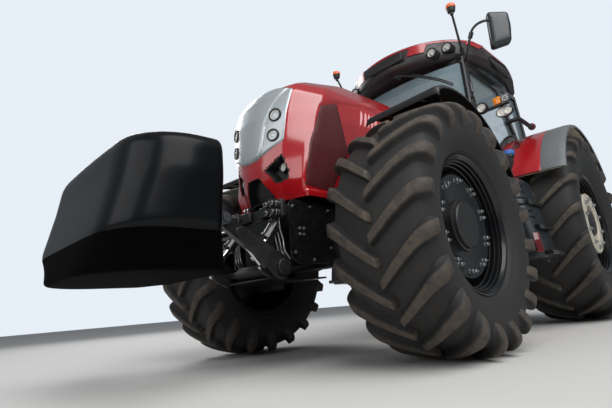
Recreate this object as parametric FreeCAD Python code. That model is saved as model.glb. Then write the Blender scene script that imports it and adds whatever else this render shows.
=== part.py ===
import FreeCAD, Part
import math
import os

# A large farm tractor: hood and engine ahead of a hollow four-post cab, steered front
# wheels under turning fenders, bigger rear wheels, a front linkage that carries a cast
# weight, and a rear three-point linkage. Millimetres. +X forward, +Y left, +Z up.
# The origin is on the ground, at the middle of the whole machine's length and width.

# Main stations along X
wheelbase = 2970.0
front_overhang = 2020.0
rear_overhang = 1605.0
front_axle_x = (wheelbase + front_overhang + rear_overhang) / 2.0 - front_overhang
rear_axle_x = front_axle_x - wheelbase

# Wheels and axles
front_track_half = 1070.0
rear_track_half = 1120.0
front_tyre_r = 820.0
front_tyre_w = 640.0
front_seat_r = 432.0
rear_tyre_r = 1040.0
rear_tyre_w = 710.0
rear_seat_r = 534.0
flange_height = 22.0
flange_lip = 8.0
lug_height = 50.0
front_lug_count = 20
rear_lug_count = 19
rim_wall = 12.0
kingpin_y = 850.0
knuckle_r = 135.0
beam_half = 110.0
kingpin_r = 40.0
ear_z = 192.0
ear_t = 60.0
ear_gap = 4.0
stub_r = 115.0
hub_flange_t = 60.0
axle_pin_r = 80.0
axle_pin_half = 300.0
axle_pin_z = 870.0
drive_shaft_z = 725.0
drive_shaft_r = 38.0
steer_arm_x = 225.0
steer_arm_in = 0.0
steer_arm_z = -122.0
steer_arm_t = 40.0
steer_barrel = 300.0
steer_rod_r = 16.0
tie_eye_t = 36.0
running_gap = 0.3
running_fit = 0.05
weld = 4.0

# Frame, engine and driveline
frame_half = 330.0
frame_plate = 60.0
frame_z0 = 960.0
frame_z1 = 1130.0
engine_half = 240.0
engine_length = 1150.0
engine_z1 = 1950.0
engine_z0 = 985.0
gearbox_half = 300.0
gearbox_front = 1950.0

nose_front = 700.0
nose_z0 = 600.0
nose_z1 = 1120.0
cab_mounts = [(-180.0, 230.0), (1400.0, 240.0)]
cab_mount_r = 55.0
pto_r = 22.2
pto_length = 100.0
pto_z = 760.0
drawbar_reach = 860.0
drawbar_z = 470.0
drawbar_bore_r = 16.0

# Hood
hood_wall = 8.0
hood_rear_gap = 60.0
hood_pivot = (1640.0, 2240.0)
hood_plate_y = 120.0
hood_plate_t = 12.0
hood_ear_t = 14.0
hood_pin_r = 14.0
waist_reach = 580.0
nose_bulge = 80.0
mask_step = 8.0
screen_step = 6.0
# height, nose and fold ahead of the front axle, half width at the nose, at the fold, at the rear
hood_levels = [(1165.0, 670.0, 540.0, 205.0, 392.0, 400.0),
               (1300.0, 710.0, 575.0, 230.0, 405.0, 430.0),
               (1420.0, 730.0, 545.0, 255.0, 425.0, 455.0),
               (1570.0, 730.0, 495.0, 282.0, 447.0, 470.0),
               (1820.0, 695.0, 410.0, 330.0, 457.0, 478.0),
               (2000.0, 645.0, 320.0, 350.0, 442.0, 462.0),
               (2090.0, 585.0, 235.0, 330.0, 415.0, 440.0),
               (2180.0, 420.0, 130.0, 275.0, 352.0, 412.0),
               (2245.0, 220.0, 0.0, 225.0, 305.0, 378.0),
               (2290.0, 20.0, -150.0, 165.0, 285.0, 330.0),
               (2320.0, -150.0, -350.0, 90.0, 130.0, 150.0)]
# half of the mask's outline in front view, (y, z) from the foot up
mask_outline = [(60.0, 1505.0), (285.0, 1600.0), (346.0, 2012.0), (0.0, 2120.0)]
# side screen in side view, (x ahead of the front axle, z)
screen_outline = [(555.0, 1235.0), (485.0, 1590.0), (368.0, 1900.0), (170.0, 1985.0), (75.0, 1560.0),
                  (290.0, 1215.0)]
# recess beside the mask's foot in front view, (y, z), and how deep its floor lies
recess_outline = [(97.0, 1406.0), (276.0, 1506.0), (315.0, 1364.0), (291.0, 1307.0), (184.0, 1288.0)]
recess_floor = 560.0
recess_wall = 6.0
# headlamp places in front view, (y, z)
lamp_places = [(231.0, 1813.0), (207.0, 1657.0)]
recess_lamp = (250.0, 1402.0)
lamp_r = 42.0
lamp_back = 590.0
# louvres: tops behind the front axle, and their foot and head heights
louvre_tops = [187.0, 240.0, 293.0, 346.0, 399.0]
louvre_lean = 97.0
louvre_width = 26.0
louvre_foot = 1815.0
louvre_head = 2030.0

# Cab
cab_front = 1540.0
cab_rear = -330.0
cab_floor_z = 1420.0
floor_t = 60.0
cab_step_x = 1110.0
belt_half = 870.0
lean_z = 1480.0
roof_half = 790.0
roof_z0 = 2960.0
post = 70.0
wall_t = 40.0
glass_t = 8.0
cowl_z = 1820.0
screen_bow_foot = 50.0
screen_bow_head = 130.0
rear_sill_z = 1850.0
door_t = 40.0
door_gap = 6.0
door_frame_w = 55.0
door_foot_z = 1450.0
door_arch_r = 1155.0
hinge_ahead = 3.0
hinge_out = 18.0
hinge_r = 16.0
hinge_pin_r = 8.0
hinge_length = 70.0
hinge_ear = 26.0
hinge_heights = [1720.0, 2560.0]
door_front_foot = 1450.0
door_front_head = 1215.0
door_rear_foot = 130.0
door_rear_head = 350.0
door_head_z = 2890.0
seat_x = 380.0
column_x = 1000.0

# Roof, lamps, beacons and mirrors
roof_front = 1640.0
roof_corner = 1190.0
roof_back = -430.0
roof_half_out = 800.0
# height and how far the outline is set in there
roof_levels = [(2960.0, 60.0), (3020.0, 0.0), (3180.0, 10.0), (3240.0, 90.0), (3275.0, 260.0)]
roof_lamp_places = [(520.0, 3090.0), (650.0, 3075.0)]
beacon_foot = (1250.0, 770.0, 3060.0)
beacon_head = (1480.0, 855.0, 3400.0)
roof_plate_half = 275.0
roof_plate_z0 = 3045.0
roof_plate_z1 = 3155.0
roof_plate_t = 22.0
pillar_arm = [(1385.0, 800.0), (1385.0, 870.0), (1470.0, 960.0), (1470.0, 1205.0)]
pillar_arm_z = 2160.0
pillar_arm_r = 16.0
pillar_round = (973.0, 2185.0, 46.0)
pillar_oval = (1175.0, 2070.0, 82.0, 52.0)
pillar_turn = (1080.0, 1245.0, 2170.0, 2245.0)
mirror_foot = (1240.0, 770.0, 2930.0)
mirror_knee = (1340.0, 930.0, 3110.0)
mirror_x = 1400.0
mirror_in_y = 1130.0
mirror_out_y = 1350.0
mirror_z0 = 2790.0
mirror_z1 = 3210.0

# Tank, steps and exhaust
tank_back = 1120.0
tank_front = 1520.0
tank_in_y = 360.0
tank_out_y = 1160.0
tank_z0 = 640.0
tank_z1 = 1360.0
step_levels = [(660.0, 170.0), (900.0, 120.0), (1140.0, 70.0)]
exhaust_x = 1640.0
exhaust_y = 700.0
exhaust_r = 70.0
exhaust_top = 3100.0

# Fenders
fender_skin = 20.0
fender_in_y = 900.0
fender_out_y = 1375.0
bracket_y = 690.0
arch_gap = 75.0
arch_wall = 14.0
arch_inner_y = 728.0
arch_band_y = 1250.0
arch_outer_y = 1470.0
arch_a0 = 25.0
arch_a1 = 145.0
arch_wall_r = 620.0

# Front linkage, measured from the front axle in side view
arm_pivot = (770.0, 660.0)
arm_length = 530.0
arm_rise = 33.0
arm_y = 300.0
arm_t = 40.0
lift_base = (680.0, 1030.0)
lift_on_arm = 160.0
lift_y = 225.0
lift_eye_half = 22.0
lift_eye_gap = 0.5
pin_r = 25.0
top_link_rise = 216.0
nose_half = 170.0
ear_clear = 6.0
weight_back = 1275.0
# height, back and front ahead of the front axle, half width, corner radius, chamfer
weight_levels = [(617.0, 1230.0, 2020.0, 530.0, 340.0, 220.0),
                 (808.0, 1275.0, 1985.0, 690.0, 215.0, 330.0),
                 (1150.0, 1275.0, 1905.0, 725.0, 260.0, 330.0),
                 (1245.0, 1280.0, 1898.0, 728.0, 250.0, 320.0),
                 (1278.0, 1310.0, 1860.0, 690.0, 240.0, 280.0)]

# Rear linkage, measured from the rear axle in side view
link_pivot = (-330.0, 610.0)
link_tip_r = 48.0
link_y = 300.0
link_rise = 6.0
link_length = (rear_overhang - link_tip_r + link_pivot[0]) / math.cos(math.radians(link_rise))
rock_shaft = (-450.0, 1275.0)
rock_arm = 460.0
rock_rise = 6.0
rod_on_link = 540.0
rod_y = 385.0
link_t = 40.0
link_bore_r = 18.6
rock_half = 350.0
rock_r = 45.0
rock_arm_y = 320.0
upper_pivot = (-450.0, 1050.0)
upper_length = 420.0
upper_rise = 30.0

V = FreeCAD.Vector
X_AXIS = V(1, 0, 0)
Y_AXIS = V(0, 1, 0)
Z_AXIS = V(0, 0, 1)
nodes = {}


def fa(d):
    """X of a station d ahead of the front axle."""
    return front_axle_x + d


def ra(d):
    """X of a station d ahead of the rear axle."""
    return rear_axle_x + d


def box(x0, x1, y0, y1, z0, z1):
    return Part.makeBox(x1 - x0, y1 - y0, z1 - z0, V(x0, y0, z0))


def rod(p, q, r):
    """Round bar of radius r from p to q."""
    p = V(*p)
    q = V(*q)
    return Part.makeCylinder(r, (q - p).Length, p, q - p)


def plate_xz(points, y0, y1):
    """Side-view outline (x, z) as a plate between y0 and y1."""
    outline = [V(x, y0, z) for x, z in points]
    face = Part.Face(Part.makePolygon(outline + [outline[0]]))
    return face.extrude(V(0, y1 - y0, 0))


def plate_xy(points, z0, z1):
    """Plan outline (x, y) as a plate between z0 and z1."""
    outline = [V(x, y, z0) for x, y in points]
    face = Part.Face(Part.makePolygon(outline + [outline[0]]))
    return face.extrude(V(0, 0, z1 - z0))


def plate_yz(points, x0, x1):
    """Front-view outline (y, z) as a plate between x0 and x1."""
    outline = [V(x0, y, z) for y, z in points]
    face = Part.Face(Part.makePolygon(outline + [outline[0]]))
    return face.extrude(V(x1 - x0, 0, 0))


def strap(p, q, r0, r1, y0, y1):
    """Flat link in side view with rounded ends about p and q, (x, z) each."""
    dx = q[0] - p[0]
    dz = q[1] - p[1]
    n = math.hypot(dx, dz)
    nx = -dz / n
    nz = dx / n
    web = plate_xz([(p[0] + nx * r0, p[1] + nz * r0), (p[0] - nx * r0, p[1] - nz * r0),
                    (q[0] - nx * r1, q[1] - nz * r1), (q[0] + nx * r1, q[1] + nz * r1)], y0, y1)
    eye0 = rod((p[0], y0, p[1]), (p[0], y1, p[1]), r0)
    eye1 = rod((q[0], y0, q[1]), (q[0], y1, q[1]), r1)
    return web.fuse([eye0, eye1]).removeSplitter()


def turned(profile, centre):
    """Profile of (y, r) turned about an axle along Y through centre."""
    points = [V(centre[0], centre[1] + y, centre[2] + r) for y, r in profile]
    face = Part.Face(Part.makePolygon(points + [points[0]]))
    return face.revolve(V(*centre), Y_AXIS, 360)


def mirrored(shape):
    return shape.mirror(V(0, 0, 0), Y_AXIS)


def polar(centre, r, degrees):
    """Point (x, z) at r from centre, degrees up from +X."""
    a = math.radians(degrees)
    return (centre[0] + r * math.cos(a), centre[1] + r * math.sin(a))


def save(name, *shapes):
    """Keep the shapes as one node: several solids that don't touch, or one."""
    solids = []
    for shape in shapes:
        solids.extend(shape.Solids)
    nodes[name] = solids[0] if len(solids) == 1 else Part.makeCompound(solids)


def faceted(facets):
    """Solid from flat facets of three or four points."""
    faces = []
    for facet in facets:
        for k in range(1, len(facet) - 1):
            corners = [facet[0], facet[k], facet[k + 1]]
            faces.append(Part.Face(Part.makePolygon(corners + [corners[0]])))
    shell = Part.makeShell(faces)
    shell.sewShape()
    solid = Part.makeSolid(shell)
    if solid.Volume < 0:
        solid.reverse()
    return solid.removeSplitter()


def lugged_tyre(radius, width, seat_r, rim_half, count):
    """Tyre about the origin, axle along Y: swept lugs on each side, half a pitch apart.

    Each station is a ring of four points a pitch, the foot and the tip of both flanks of
    a lug, and the next one out is turned back, so that the noses lead.
    """
    tread_r = radius - lug_height
    pitch = 360.0 / count
    low_y = 0.46 * width
    low_rise = 70.0
    flange_y = rim_half - flange_lip - 2.0
    past_flange = flange_height + 1.0
    bead_y = flange_y - (low_y - flange_y) * past_flange / (low_rise - past_flange)
    # y, foot radius, tip radius, half foot, half tip, swept back in degrees
    stations = [(12.0, tread_r, radius, 30.0, 24.0, 0.0),
                (0.24 * width, tread_r - 4.0, radius - 2.0, 32.0, 24.0, 8.0),
                (0.44 * width, tread_r - 22.0, radius - 12.0, 38.0, 30.0, 17.0),
                (0.50 * width, tread_r - 120.0, tread_r - 120.0, 38.0, 30.0, 18.0)]
    wall_sweep = stations[-1][5]
    phase = -math.degrees(stations[0][4] / radius)

    def at(degrees, y, r):
        a = math.radians(degrees + phase)
        return V(r * math.sin(a), y, r * math.cos(a))

    def plain_ring(side, y, r):
        start = 0.5 if side > 0 else 0.0
        return [at((i + start) * pitch - wall_sweep, side * y, r) for i in range(count)]

    def lug_ring(side, station):
        y, foot, tip, half_foot, half_tip, sweep = station
        start = 0.5 if side > 0 else 0.0
        ring = []
        for i in range(count):
            middle = (i + start) * pitch - sweep
            for along, r in ((-half_foot, foot), (-half_tip, tip), (half_tip, tip), (half_foot, foot)):
                ring.append(at(middle + math.degrees(along / radius), side * y, r))
        return ring

    middle_ring = [at((k + 0.5) * pitch / 2.0, 0.0, tread_r) for k in range(2 * count)]
    facets = []
    beads = {}
    around = 4 * count
    for side in (1, -1):
        rings = [lug_ring(side, station) for station in stations]
        for inner, outer in zip(rings[:-1], rings[1:]):
            for j in range(around):
                k = (j + 1) % around
                facets.append((inner[j], inner[k], outer[k], outer[j]))
        low = plain_ring(side, low_y, seat_r + low_rise)
        beads[side] = plain_ring(side, bead_y, seat_r / math.cos(math.pi / count))
        for i in range(count):
            j = 4 * i
            nxt = (i + 1) % count
            last = (j + 4) % around
            edge = rings[-1]
            for o in range(3):
                facets.append((edge[j + o], edge[j + o + 1], low[i]))
            facets.append((edge[j + 3], edge[last], low[i]))
            facets.append((edge[last], low[nxt], low[i]))
            facets.append((low[i], low[nxt], beads[side][nxt], beads[side][i]))
            nose = rings[0]
            ahead = 2 * i + (1 if side > 0 else 0)
            before = middle_ring[(ahead - 1) % (2 * count)]
            beside = middle_ring[ahead % (2 * count)]
            after = middle_ring[(ahead + 1) % (2 * count)]
            facets.append((nose[j], nose[j + 1], before))
            facets.append((nose[j + 1], nose[j + 2], before))
            facets.append((nose[j + 2], before, beside))
            facets.append((nose[j + 2], nose[j + 3], beside))
            facets.append((nose[j + 3], nose[last], beside))
            facets.append((nose[last], beside, after))
    left = beads[1]
    right = beads[-1]
    for i in range(count):
        nxt = (i + 1) % count
        facets.append((right[i], right[nxt], left[i]))
        facets.append((left[i], left[nxt], right[nxt]))
    return faceted(facets)


def rim(seat_r, half, disc_y, hub_r, disc_r):
    """Wheel about the origin: flanged barrel with a step, and a dished disc at disc_y."""
    wall = rim_wall
    flange = seat_r + flange_height
    barrel = turned([(-half, flange), (-half, flange - 10.0), (-half + 14.0, seat_r - wall),
                     (-half + 110.0, seat_r - wall), (-half + 150.0, seat_r - wall - 28.0),
                     (half - 150.0, seat_r - wall - 28.0), (half - 110.0, seat_r - wall),
                     (half - 14.0, seat_r - wall), (half, flange - 10.0), (half, flange),
                     (half - flange_lip, flange), (half - flange_lip, seat_r), (half - 104.0, seat_r),
                     (half - 144.0, seat_r - 28.0), (-half + 144.0, seat_r - 28.0),
                     (-half + 104.0, seat_r), (-half + flange_lip, seat_r), (-half + flange_lip, flange)], (0, 0, 0))
    inside = seat_r - wall - 28.0
    disc = turned([(disc_y, hub_r), (disc_y, disc_r), (disc_y - 45.0, disc_r + 45.0),
                   (disc_y - 45.0, inside + 1.0), (disc_y - 65.0, inside + 1.0),
                   (disc_y - 65.0, disc_r + 38.0), (disc_y - 20.0, disc_r - 8.0),
                   (disc_y - 20.0, hub_r)], (0, 0, 0))
    return barrel.fuse(disc).removeSplitter()


# Front wheels, knuckles, axle
front_rim_half = 256.0
front_disc_y = 60.0
front_hub_r = 140.0
front_disc_r = 215.0
front_centre = V(front_axle_x, front_track_half, front_tyre_r)
rear_rim_half = 300.0
rear_disc_y = 130.0
rear_hub_r = 170.0
rear_disc_r = 330.0
rear_centre = V(rear_axle_x, rear_track_half, rear_tyre_r)


def front_wheels():
    wheel = rim(front_seat_r, front_rim_half, front_disc_y, front_hub_r, front_disc_r)
    hub = turned([(front_disc_y, 0.0), (front_disc_y, front_hub_r), (front_disc_y + 60.0, front_hub_r),
                  (front_disc_y + 110.0, 95.0), (front_disc_y + 150.0, 95.0),
                  (front_disc_y + 150.0, 0.0)], (0, 0, 0))
    flange = turned([(front_disc_y - 60.0, 0.0), (front_disc_y - 60.0, front_hub_r),
                     (front_disc_y, front_hub_r), (front_disc_y, 0.0)], (0, 0, 0))
    wheel = wheel.fuse([hub, flange]).removeSplitter()
    tyre = lugged_tyre(front_tyre_r, front_tyre_w, front_seat_r, front_rim_half, front_lug_count)
    for shape, name in ((wheel, "front_rim"), (tyre, "front_tyre")):
        shape.translate(front_centre)
        save(name + "_left", shape)
        save(name + "_right", mirrored(shape))


def rear_wheels():
    wheel = rim(rear_seat_r, rear_rim_half, rear_disc_y, rear_hub_r, rear_disc_r)
    tyre = lugged_tyre(rear_tyre_r, rear_tyre_w, rear_seat_r, rear_rim_half, rear_lug_count)
    y = rear_disc_y
    disc = turned([(y + 0.0, rear_hub_r - 40.0), (y + 0.0, rear_disc_r - 4.0),
                   (y + 14.0, rear_disc_r - 18.0), (y + 14.0, rear_hub_r),
                   (y + 80.0, rear_hub_r - 30.0), (y + 80.0, rear_hub_r - 50.0)], (0, 0, 0))
    for shape, name in ((wheel, "rear_rim"), (tyre, "rear_tyre"), (disc, "rear_disc")):
        shape.translate(rear_centre)
        save(name + "_left", shape)
        save(name + "_right", mirrored(shape))


def knuckles():
    """Swivel housing on king pins, its steering arm and the stub that the wheel turns on."""
    x = front_axle_x
    z = front_tyre_r
    swivel = Part.makeSphere(knuckle_r, V(x, kingpin_y, z))
    swivel = swivel.common(box(x - 200, x + 200, kingpin_y, kingpin_y + 200.0, z - 200, z + 200))
    stub_end = front_track_half + front_disc_y - hub_flange_t - running_gap
    stub = rod((x, kingpin_y, z), (x, stub_end, z), stub_r)
    parts = [stub]
    for sign in (1, -1):
        z0 = min(z + sign * 100.0, z + sign * (ear_z - ear_gap))
        z1 = max(z + sign * 100.0, z + sign * (ear_z - ear_gap))
        parts.append(box(x - 60, x + 60, kingpin_y + 10.0, kingpin_y + 100.0, z0, z1))
        pad = rod((x, kingpin_y, z + sign * (ear_z - ear_gap - 50.0)),
                  (x, kingpin_y, z + sign * (ear_z - ear_gap)), 60.0)
        pin = rod((x, kingpin_y, z + sign * (ear_z - ear_gap)),
                  (x, kingpin_y, z + sign * (ear_z + ear_t + ear_gap)), kingpin_r)
        parts.extend([pad, pin])
    arm_top = z + steer_arm_z
    arm = plate_xy([(x + 20.0, kingpin_y + 70.0), (x + 20.0, kingpin_y - 20.0),
                    (fa(steer_arm_x), kingpin_y - steer_arm_in - 36.0),
                    (fa(steer_arm_x + 36.0), kingpin_y - steer_arm_in),
                    (fa(steer_arm_x + 16.0), kingpin_y - steer_arm_in + 36.0)],
                   arm_top - steer_arm_t, arm_top)
    parts.append(arm)
    shape = swivel.fuse(parts).removeSplitter()
    save("knuckle_left", shape)
    save("knuckle_right", mirrored(shape))


def front_axle():
    """Beam with a central drive bulge, open yokes at its ends and the drive shaft."""
    z = front_tyre_r
    x = front_axle_x
    end = kingpin_y - 95.0
    half = [(fa(-130), -end), (fa(130), -end), (fa(beam_half), -320.0), (fa(190), -200.0),
            (fa(190), 200.0), (fa(beam_half), 320.0), (fa(130), end), (fa(-130), end),
            (fa(-beam_half), 320.0), (fa(-220), 200.0), (fa(-220), -200.0), (fa(-beam_half), -320.0)]
    beam = plate_xy(half, z - beam_half, z + beam_half)
    pivot = rod((fa(-axle_pin_half), 0, axle_pin_z), (fa(axle_pin_half), 0, axle_pin_z), axle_pin_r)
    shaft = rod((ra(gearbox_front), 0, drive_shaft_z), (fa(-200), 0, drive_shaft_z), drive_shaft_r)
    parts = [pivot, shaft]
    holes = []
    for side in (1, -1):
        near = side * (end - 130.0)
        web = side * (end - 60.0)
        tip = side * (kingpin_y + 60.0)
        for sign in (1, -1):
            z0 = min(z + sign * ear_z, z + sign * (ear_z + ear_t))
            parts.append(box(x - 70, x + 70, min(near, tip), max(near, tip), z0, z0 + ear_t))
            holes.append(rod((x, side * kingpin_y, z0 - 1.0), (x, side * kingpin_y, z0 + ear_t + 1.0),
                             kingpin_r + running_fit))
        parts.append(box(x - 70, x + 70, min(near, web), max(near, web),
                         z - ear_z - ear_t, z + ear_z + ear_t))
    rod_z = z + steer_arm_z + 1.0 + tie_eye_t / 2.0
    parts.append(rod((fa(steer_arm_x), -steer_barrel, rod_z), (fa(steer_arm_x), steer_barrel, rod_z), 48.0))
    holes.append(rod((fa(steer_arm_x), -steer_barrel - 1.0, rod_z),
                     (fa(steer_arm_x), steer_barrel + 1.0, rod_z), steer_rod_r + running_fit))
    parts.append(box(fa(150), fa(steer_arm_x), -120.0, 120.0, rod_z - 40.0, z + 40.0))
    save("front_axle", beam.fuse(parts).cut(holes).removeSplitter())


def steering_rod():
    """Rod through the steering cylinder, an eye at each end."""
    z = front_tyre_r + steer_arm_z + 1.0 + tie_eye_t / 2.0
    x = fa(steer_arm_x)
    eye_y = kingpin_y - steer_arm_in
    shape = rod((x, -eye_y, z), (x, eye_y, z), steer_rod_r)
    for side in (1, -1):
        shape = shape.fuse(rod((x, side * eye_y, z - tie_eye_t / 2.0), (x, side * eye_y, z + tie_eye_t / 2.0),
                               34.0))
    save("steering_rods", shape.removeSplitter())


def front_fenders():
    """Fender that turns with the wheel, its bracket rising from the king pin's top."""
    c = (front_axle_x, front_tyre_r)
    # radius of the outer face and degrees up from the front
    line = [(893.0, 69.0), (925.0, 82.0), (952.0, 97.0), (958.0, 115.0), (958.0, 135.0), (955.0, 155.0)]
    outer = [polar(c, r, a) for r, a in line]
    inner = [polar(c, r - fender_skin, a) for r, a in line]
    skin = plate_xz(outer + inner[::-1], fender_in_y, fender_out_y)
    seat_z = front_tyre_r + ear_z + ear_t + ear_gap
    x = front_axle_x
    under = line[3][0] - fender_skin
    top = plate_xy([(x - 60, kingpin_y + 60), (x + 60, kingpin_y + 60), (x + 60, bracket_y),
                    (x - 60, bracket_y)], seat_z, seat_z + 20.0)
    riser = plate_xz([(x - 60, seat_z), (x + 60, seat_z), polar(c, under, 100), polar(c, under, 116)],
                     bracket_y, bracket_y + 20.0)
    arm = plate_xz([polar(c, under + 1.0, 116), polar(c, under - 40.0, 116), polar(c, under - 40.0, 104),
                    polar(c, under + 1.0, 104)], bracket_y, fender_out_y - 120.0)
    shape = skin.fuse([top, riser, arm]).removeSplitter()
    save("front_fender_left", shape)
    save("front_fender_right", mirrored(shape))


def chassis():
    """Engine block, frame with the nose casting, gearbox with the rear axle, drawbar."""
    save("engine_block", box(ra(gearbox_front), ra(gearbox_front + engine_length),
                             -engine_half, engine_half, engine_z0, engine_z1))
    x_back = ra(gearbox_front)
    x_front = fa(nose_front)
    inside = frame_half - frame_plate
    parts = []
    for side in (1, -1):
        y0 = min(side * inside, side * frame_half)
        parts.append(plate_xz([(x_back, frame_z0), (fa(560), frame_z0), (fa(600), frame_z1),
                               (x_back, frame_z1)], y0, y0 + frame_plate))
    bores = []
    for x0 in (-axle_pin_half, axle_pin_half - 60.0):
        cradle = box(fa(x0), fa(x0 + 60.0), -inside, inside, axle_pin_z + axle_pin_r, engine_z0 - 1.0)
        cradle = cradle.fuse(box(fa(x0), fa(x0 + 60.0), -130.0, 130.0, axle_pin_z - axle_pin_r - 20.0,
                                 axle_pin_z + axle_pin_r + 1.0))
        parts.append(cradle)
        bores.append(rod((fa(x0 - 1.0), 0, axle_pin_z), (fa(x0 + 61.0), 0, axle_pin_z),
                         axle_pin_r + running_fit))
    parts.append(box(fa(420), fa(600), -inside, inside, frame_z0, frame_z1))
    nose = plate_xz([(fa(420), frame_z1), (fa(420), 900.0), (fa(560), 640.0), (fa(620), nose_z0),
                     (x_front, nose_z0), (x_front, nose_z1), (fa(600), nose_z1 + 30.0), (fa(600), frame_z1)],
                    -nose_half, nose_half)
    parts.append(nose)
    ax, az = arm_pivot
    eye = plate_xz([(x_front - 60.0, az - 55.0), (fa(ax), az - 45.0), (fa(ax + 45.0), az),
                    (fa(ax), az + 45.0), (x_front - 60.0, az + 80.0)], -nose_half, nose_half)
    parts.append(eye)
    shaft_half = arm_y + arm_t / 2.0 + 12.0
    parts.append(rod((fa(ax), -shaft_half, az), (fa(ax), shaft_half, az), pin_r))
    bx, bz = lift_base
    base_half = lift_y + 34.0
    parts.append(rod((fa(bx), -base_half, bz), (fa(bx), base_half, bz), pin_r))
    tx = ax
    tz = az + top_link_rise
    for side in (1, -1):
        y0 = min(side * 32.0, side * 62.0)
        parts.append(plate_xz([(x_front - 40.0, tz - 50.0), (fa(tx), tz - 38.0), (fa(tx + 38.0), tz),
                               (fa(tx), tz + 38.0), (x_front - 40.0, tz + 50.0)], y0, y0 + 30.0))
    parts.append(rod((fa(tx), -62.0, tz), (fa(tx), 62.0, tz), pin_r))
    save("front_frame", parts[0].fuse(parts[1:]).cut(bores).removeSplitter())

    case = plate_xz([(ra(-400), 700), (ra(-400), 1240), (ra(200), 1330), (ra(700), 1260),
                     (ra(gearbox_front), 1210), (ra(gearbox_front), 660), (ra(1100), 630),
                     (ra(200), 600)], -gearbox_half, gearbox_half)
    z = rear_tyre_r
    hub_end = rear_track_half + rear_disc_y - 20.0 - running_gap
    parts = []
    for side in (1, -1):
        trumpet = turned([(gearbox_half - 1.0, 0.0), (gearbox_half - 1.0, 230.0), (gearbox_half + 60.0, 230.0),
                          (gearbox_half + 160.0, 165.0), (hub_end - 260.0, 135.0), (hub_end - 260.0, 95.0),
                          (hub_end - 30.0, 95.0), (hub_end - 30.0, 190.0), (hub_end, 190.0),
                          (hub_end, 0.0)], (rear_axle_x, 0, z))
        parts.append(trumpet if side > 0 else mirrored(trumpet))
    parts.append(rod((ra(-400), 0, pto_z), (ra(-400 - pto_length), 0, pto_z), pto_r))
    rx, rz = rock_shaft
    parts.append(rod((ra(rx), -rock_half, rz), (ra(rx), rock_half, rz), rock_r))
    parts.append(plate_xz([(ra(-400), 1150), (ra(rx - 70), rz - 40.0), (ra(rx - 70), rz + 60.0),
                           (ra(rx + 90), rz + 70.0), (ra(0), 1290)], -250.0, 250.0))
    lx, lz = link_pivot
    half = link_y + link_t / 2.0 + 14.0
    parts.append(rod((ra(lx), -half, lz), (ra(lx), half, lz), pin_r))
    parts.append(plate_xz([(ra(lx + 90), 720.0), (ra(lx + 60), lz - 40.0), (ra(lx - 40), lz - 45.0),
                           (ra(lx - 60), 720.0)], -240.0, 240.0))
    cx, cz = upper_pivot
    for side in (1, -1):
        y0 = min(side * 30.0, side * 58.0)
        parts.append(plate_xz([(ra(-395), cz - 70.0), (ra(cx), cz - 40.0), (ra(cx - 36), cz),
                               (ra(cx), cz + 40.0), (ra(-395), cz + 60.0)], y0, y0 + 28.0))
    parts.append(rod((ra(cx), -58.0, cz), (ra(cx), 58.0, cz), pin_r))
    for x, y in cab_mounts:
        for side in (1, -1):
            parts.append(rod((ra(x), side * y, cab_floor_z - floor_t - 160.0),
                             (ra(x), side * y, cab_floor_z - floor_t), cab_mount_r))
    save("transmission", case.fuse(parts).removeSplitter())

    bar = box(ra(-drawbar_reach - 40.0), ra(100.0), -50.0, 50.0, drawbar_z, drawbar_z + 40.0)
    bar = bar.cut(rod((ra(-drawbar_reach), 0, drawbar_z - 1.0), (ra(-drawbar_reach), 0, drawbar_z + 41.0),
                      drawbar_bore_r))
    hanger = box(ra(-100), ra(100), -90.0, 90.0, drawbar_z + 40.0, 620.0)
    frame = box(ra(-440), ra(-405), -110.0, 110.0, drawbar_z - 36.0, drawbar_z)
    for side in (1, -1):
        y0 = min(side * 70.0, side * 110.0)
        frame = frame.fuse(box(ra(-440), ra(-405), y0, y0 + 40.0, drawbar_z - 36.0, 640.0))
    foot = box(ra(-440), ra(-300), -110.0, 110.0, 640.0, 660.0)
    shape = bar.fuse([hanger, frame]).cut(nodes["transmission"])
    save("drawbar", max(shape.Solids, key=lambda solid: solid.Volume))


def hood_bracket():
    """Pair of plates on the engine's back that carry the hood's hinge pin."""
    x = ra(hood_pivot[0])
    z = hood_pivot[1]
    back = ra(gearbox_front)
    parts = []
    for side in (1, -1):
        y0 = min(side * hood_plate_y, side * (hood_plate_y + hood_plate_t))
        parts.append(plate_xz([(back, engine_z1), (back + 260.0, engine_z1), (x + 26.0, z + 20.0),
                               (x - 22.0, z + 12.0), (x - 16.0, z - 26.0)], y0, y0 + hood_plate_t))
        tip = side * (hood_plate_y + hood_plate_t + hood_ear_t + 12.0)
        parts.append(rod((x, side * hood_plate_y, z), (x, tip, z), hood_pin_r))
    parts.append(box(back + 20.0, back + 60.0, -hood_plate_y, hood_plate_y, engine_z1, engine_z1 + 40.0))
    save("hood_bracket", parts[0].fuse(parts[1:]).removeSplitter())


def hood_section(level, grow, dip, rear_x):
    """Plan outline of the hood at one level: arc over the nose, facet, flank; grown outward by grow."""
    z, nose, fold, half_nose, half_fold, half_rear = level
    z = z + (grow if z >= 2000.0 else 0.0) - dip
    nose_x = fa(nose + grow)
    corner_x = nose_x - nose_bulge
    fold_x = fa(fold + grow)
    waist_x = min(fa(-waist_reach), fold_x - 150.0)
    hn = half_nose + grow
    hf = half_fold + grow
    hr = half_rear + grow
    hw = (hf + hr) / 2.0
    side = [V(rear_x, -hr, z), V(waist_x, -hw, z), V(fold_x, -hf, z), V(corner_x, -hn, z)]
    edges = [Part.makeLine(a, b) for a, b in zip(side[:-1], side[1:])]
    edges.append(Part.Arc(side[3], V(nose_x, 0, z), V(corner_x, hn, z)).toShape())
    far = [V(corner_x, hn, z), V(fold_x, hf, z), V(waist_x, hw, z), V(rear_x, hr, z), side[0]]
    edges.extend(Part.makeLine(a, b) for a, b in zip(far[:-1], far[1:]))
    return Part.Wire(edges)


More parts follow.
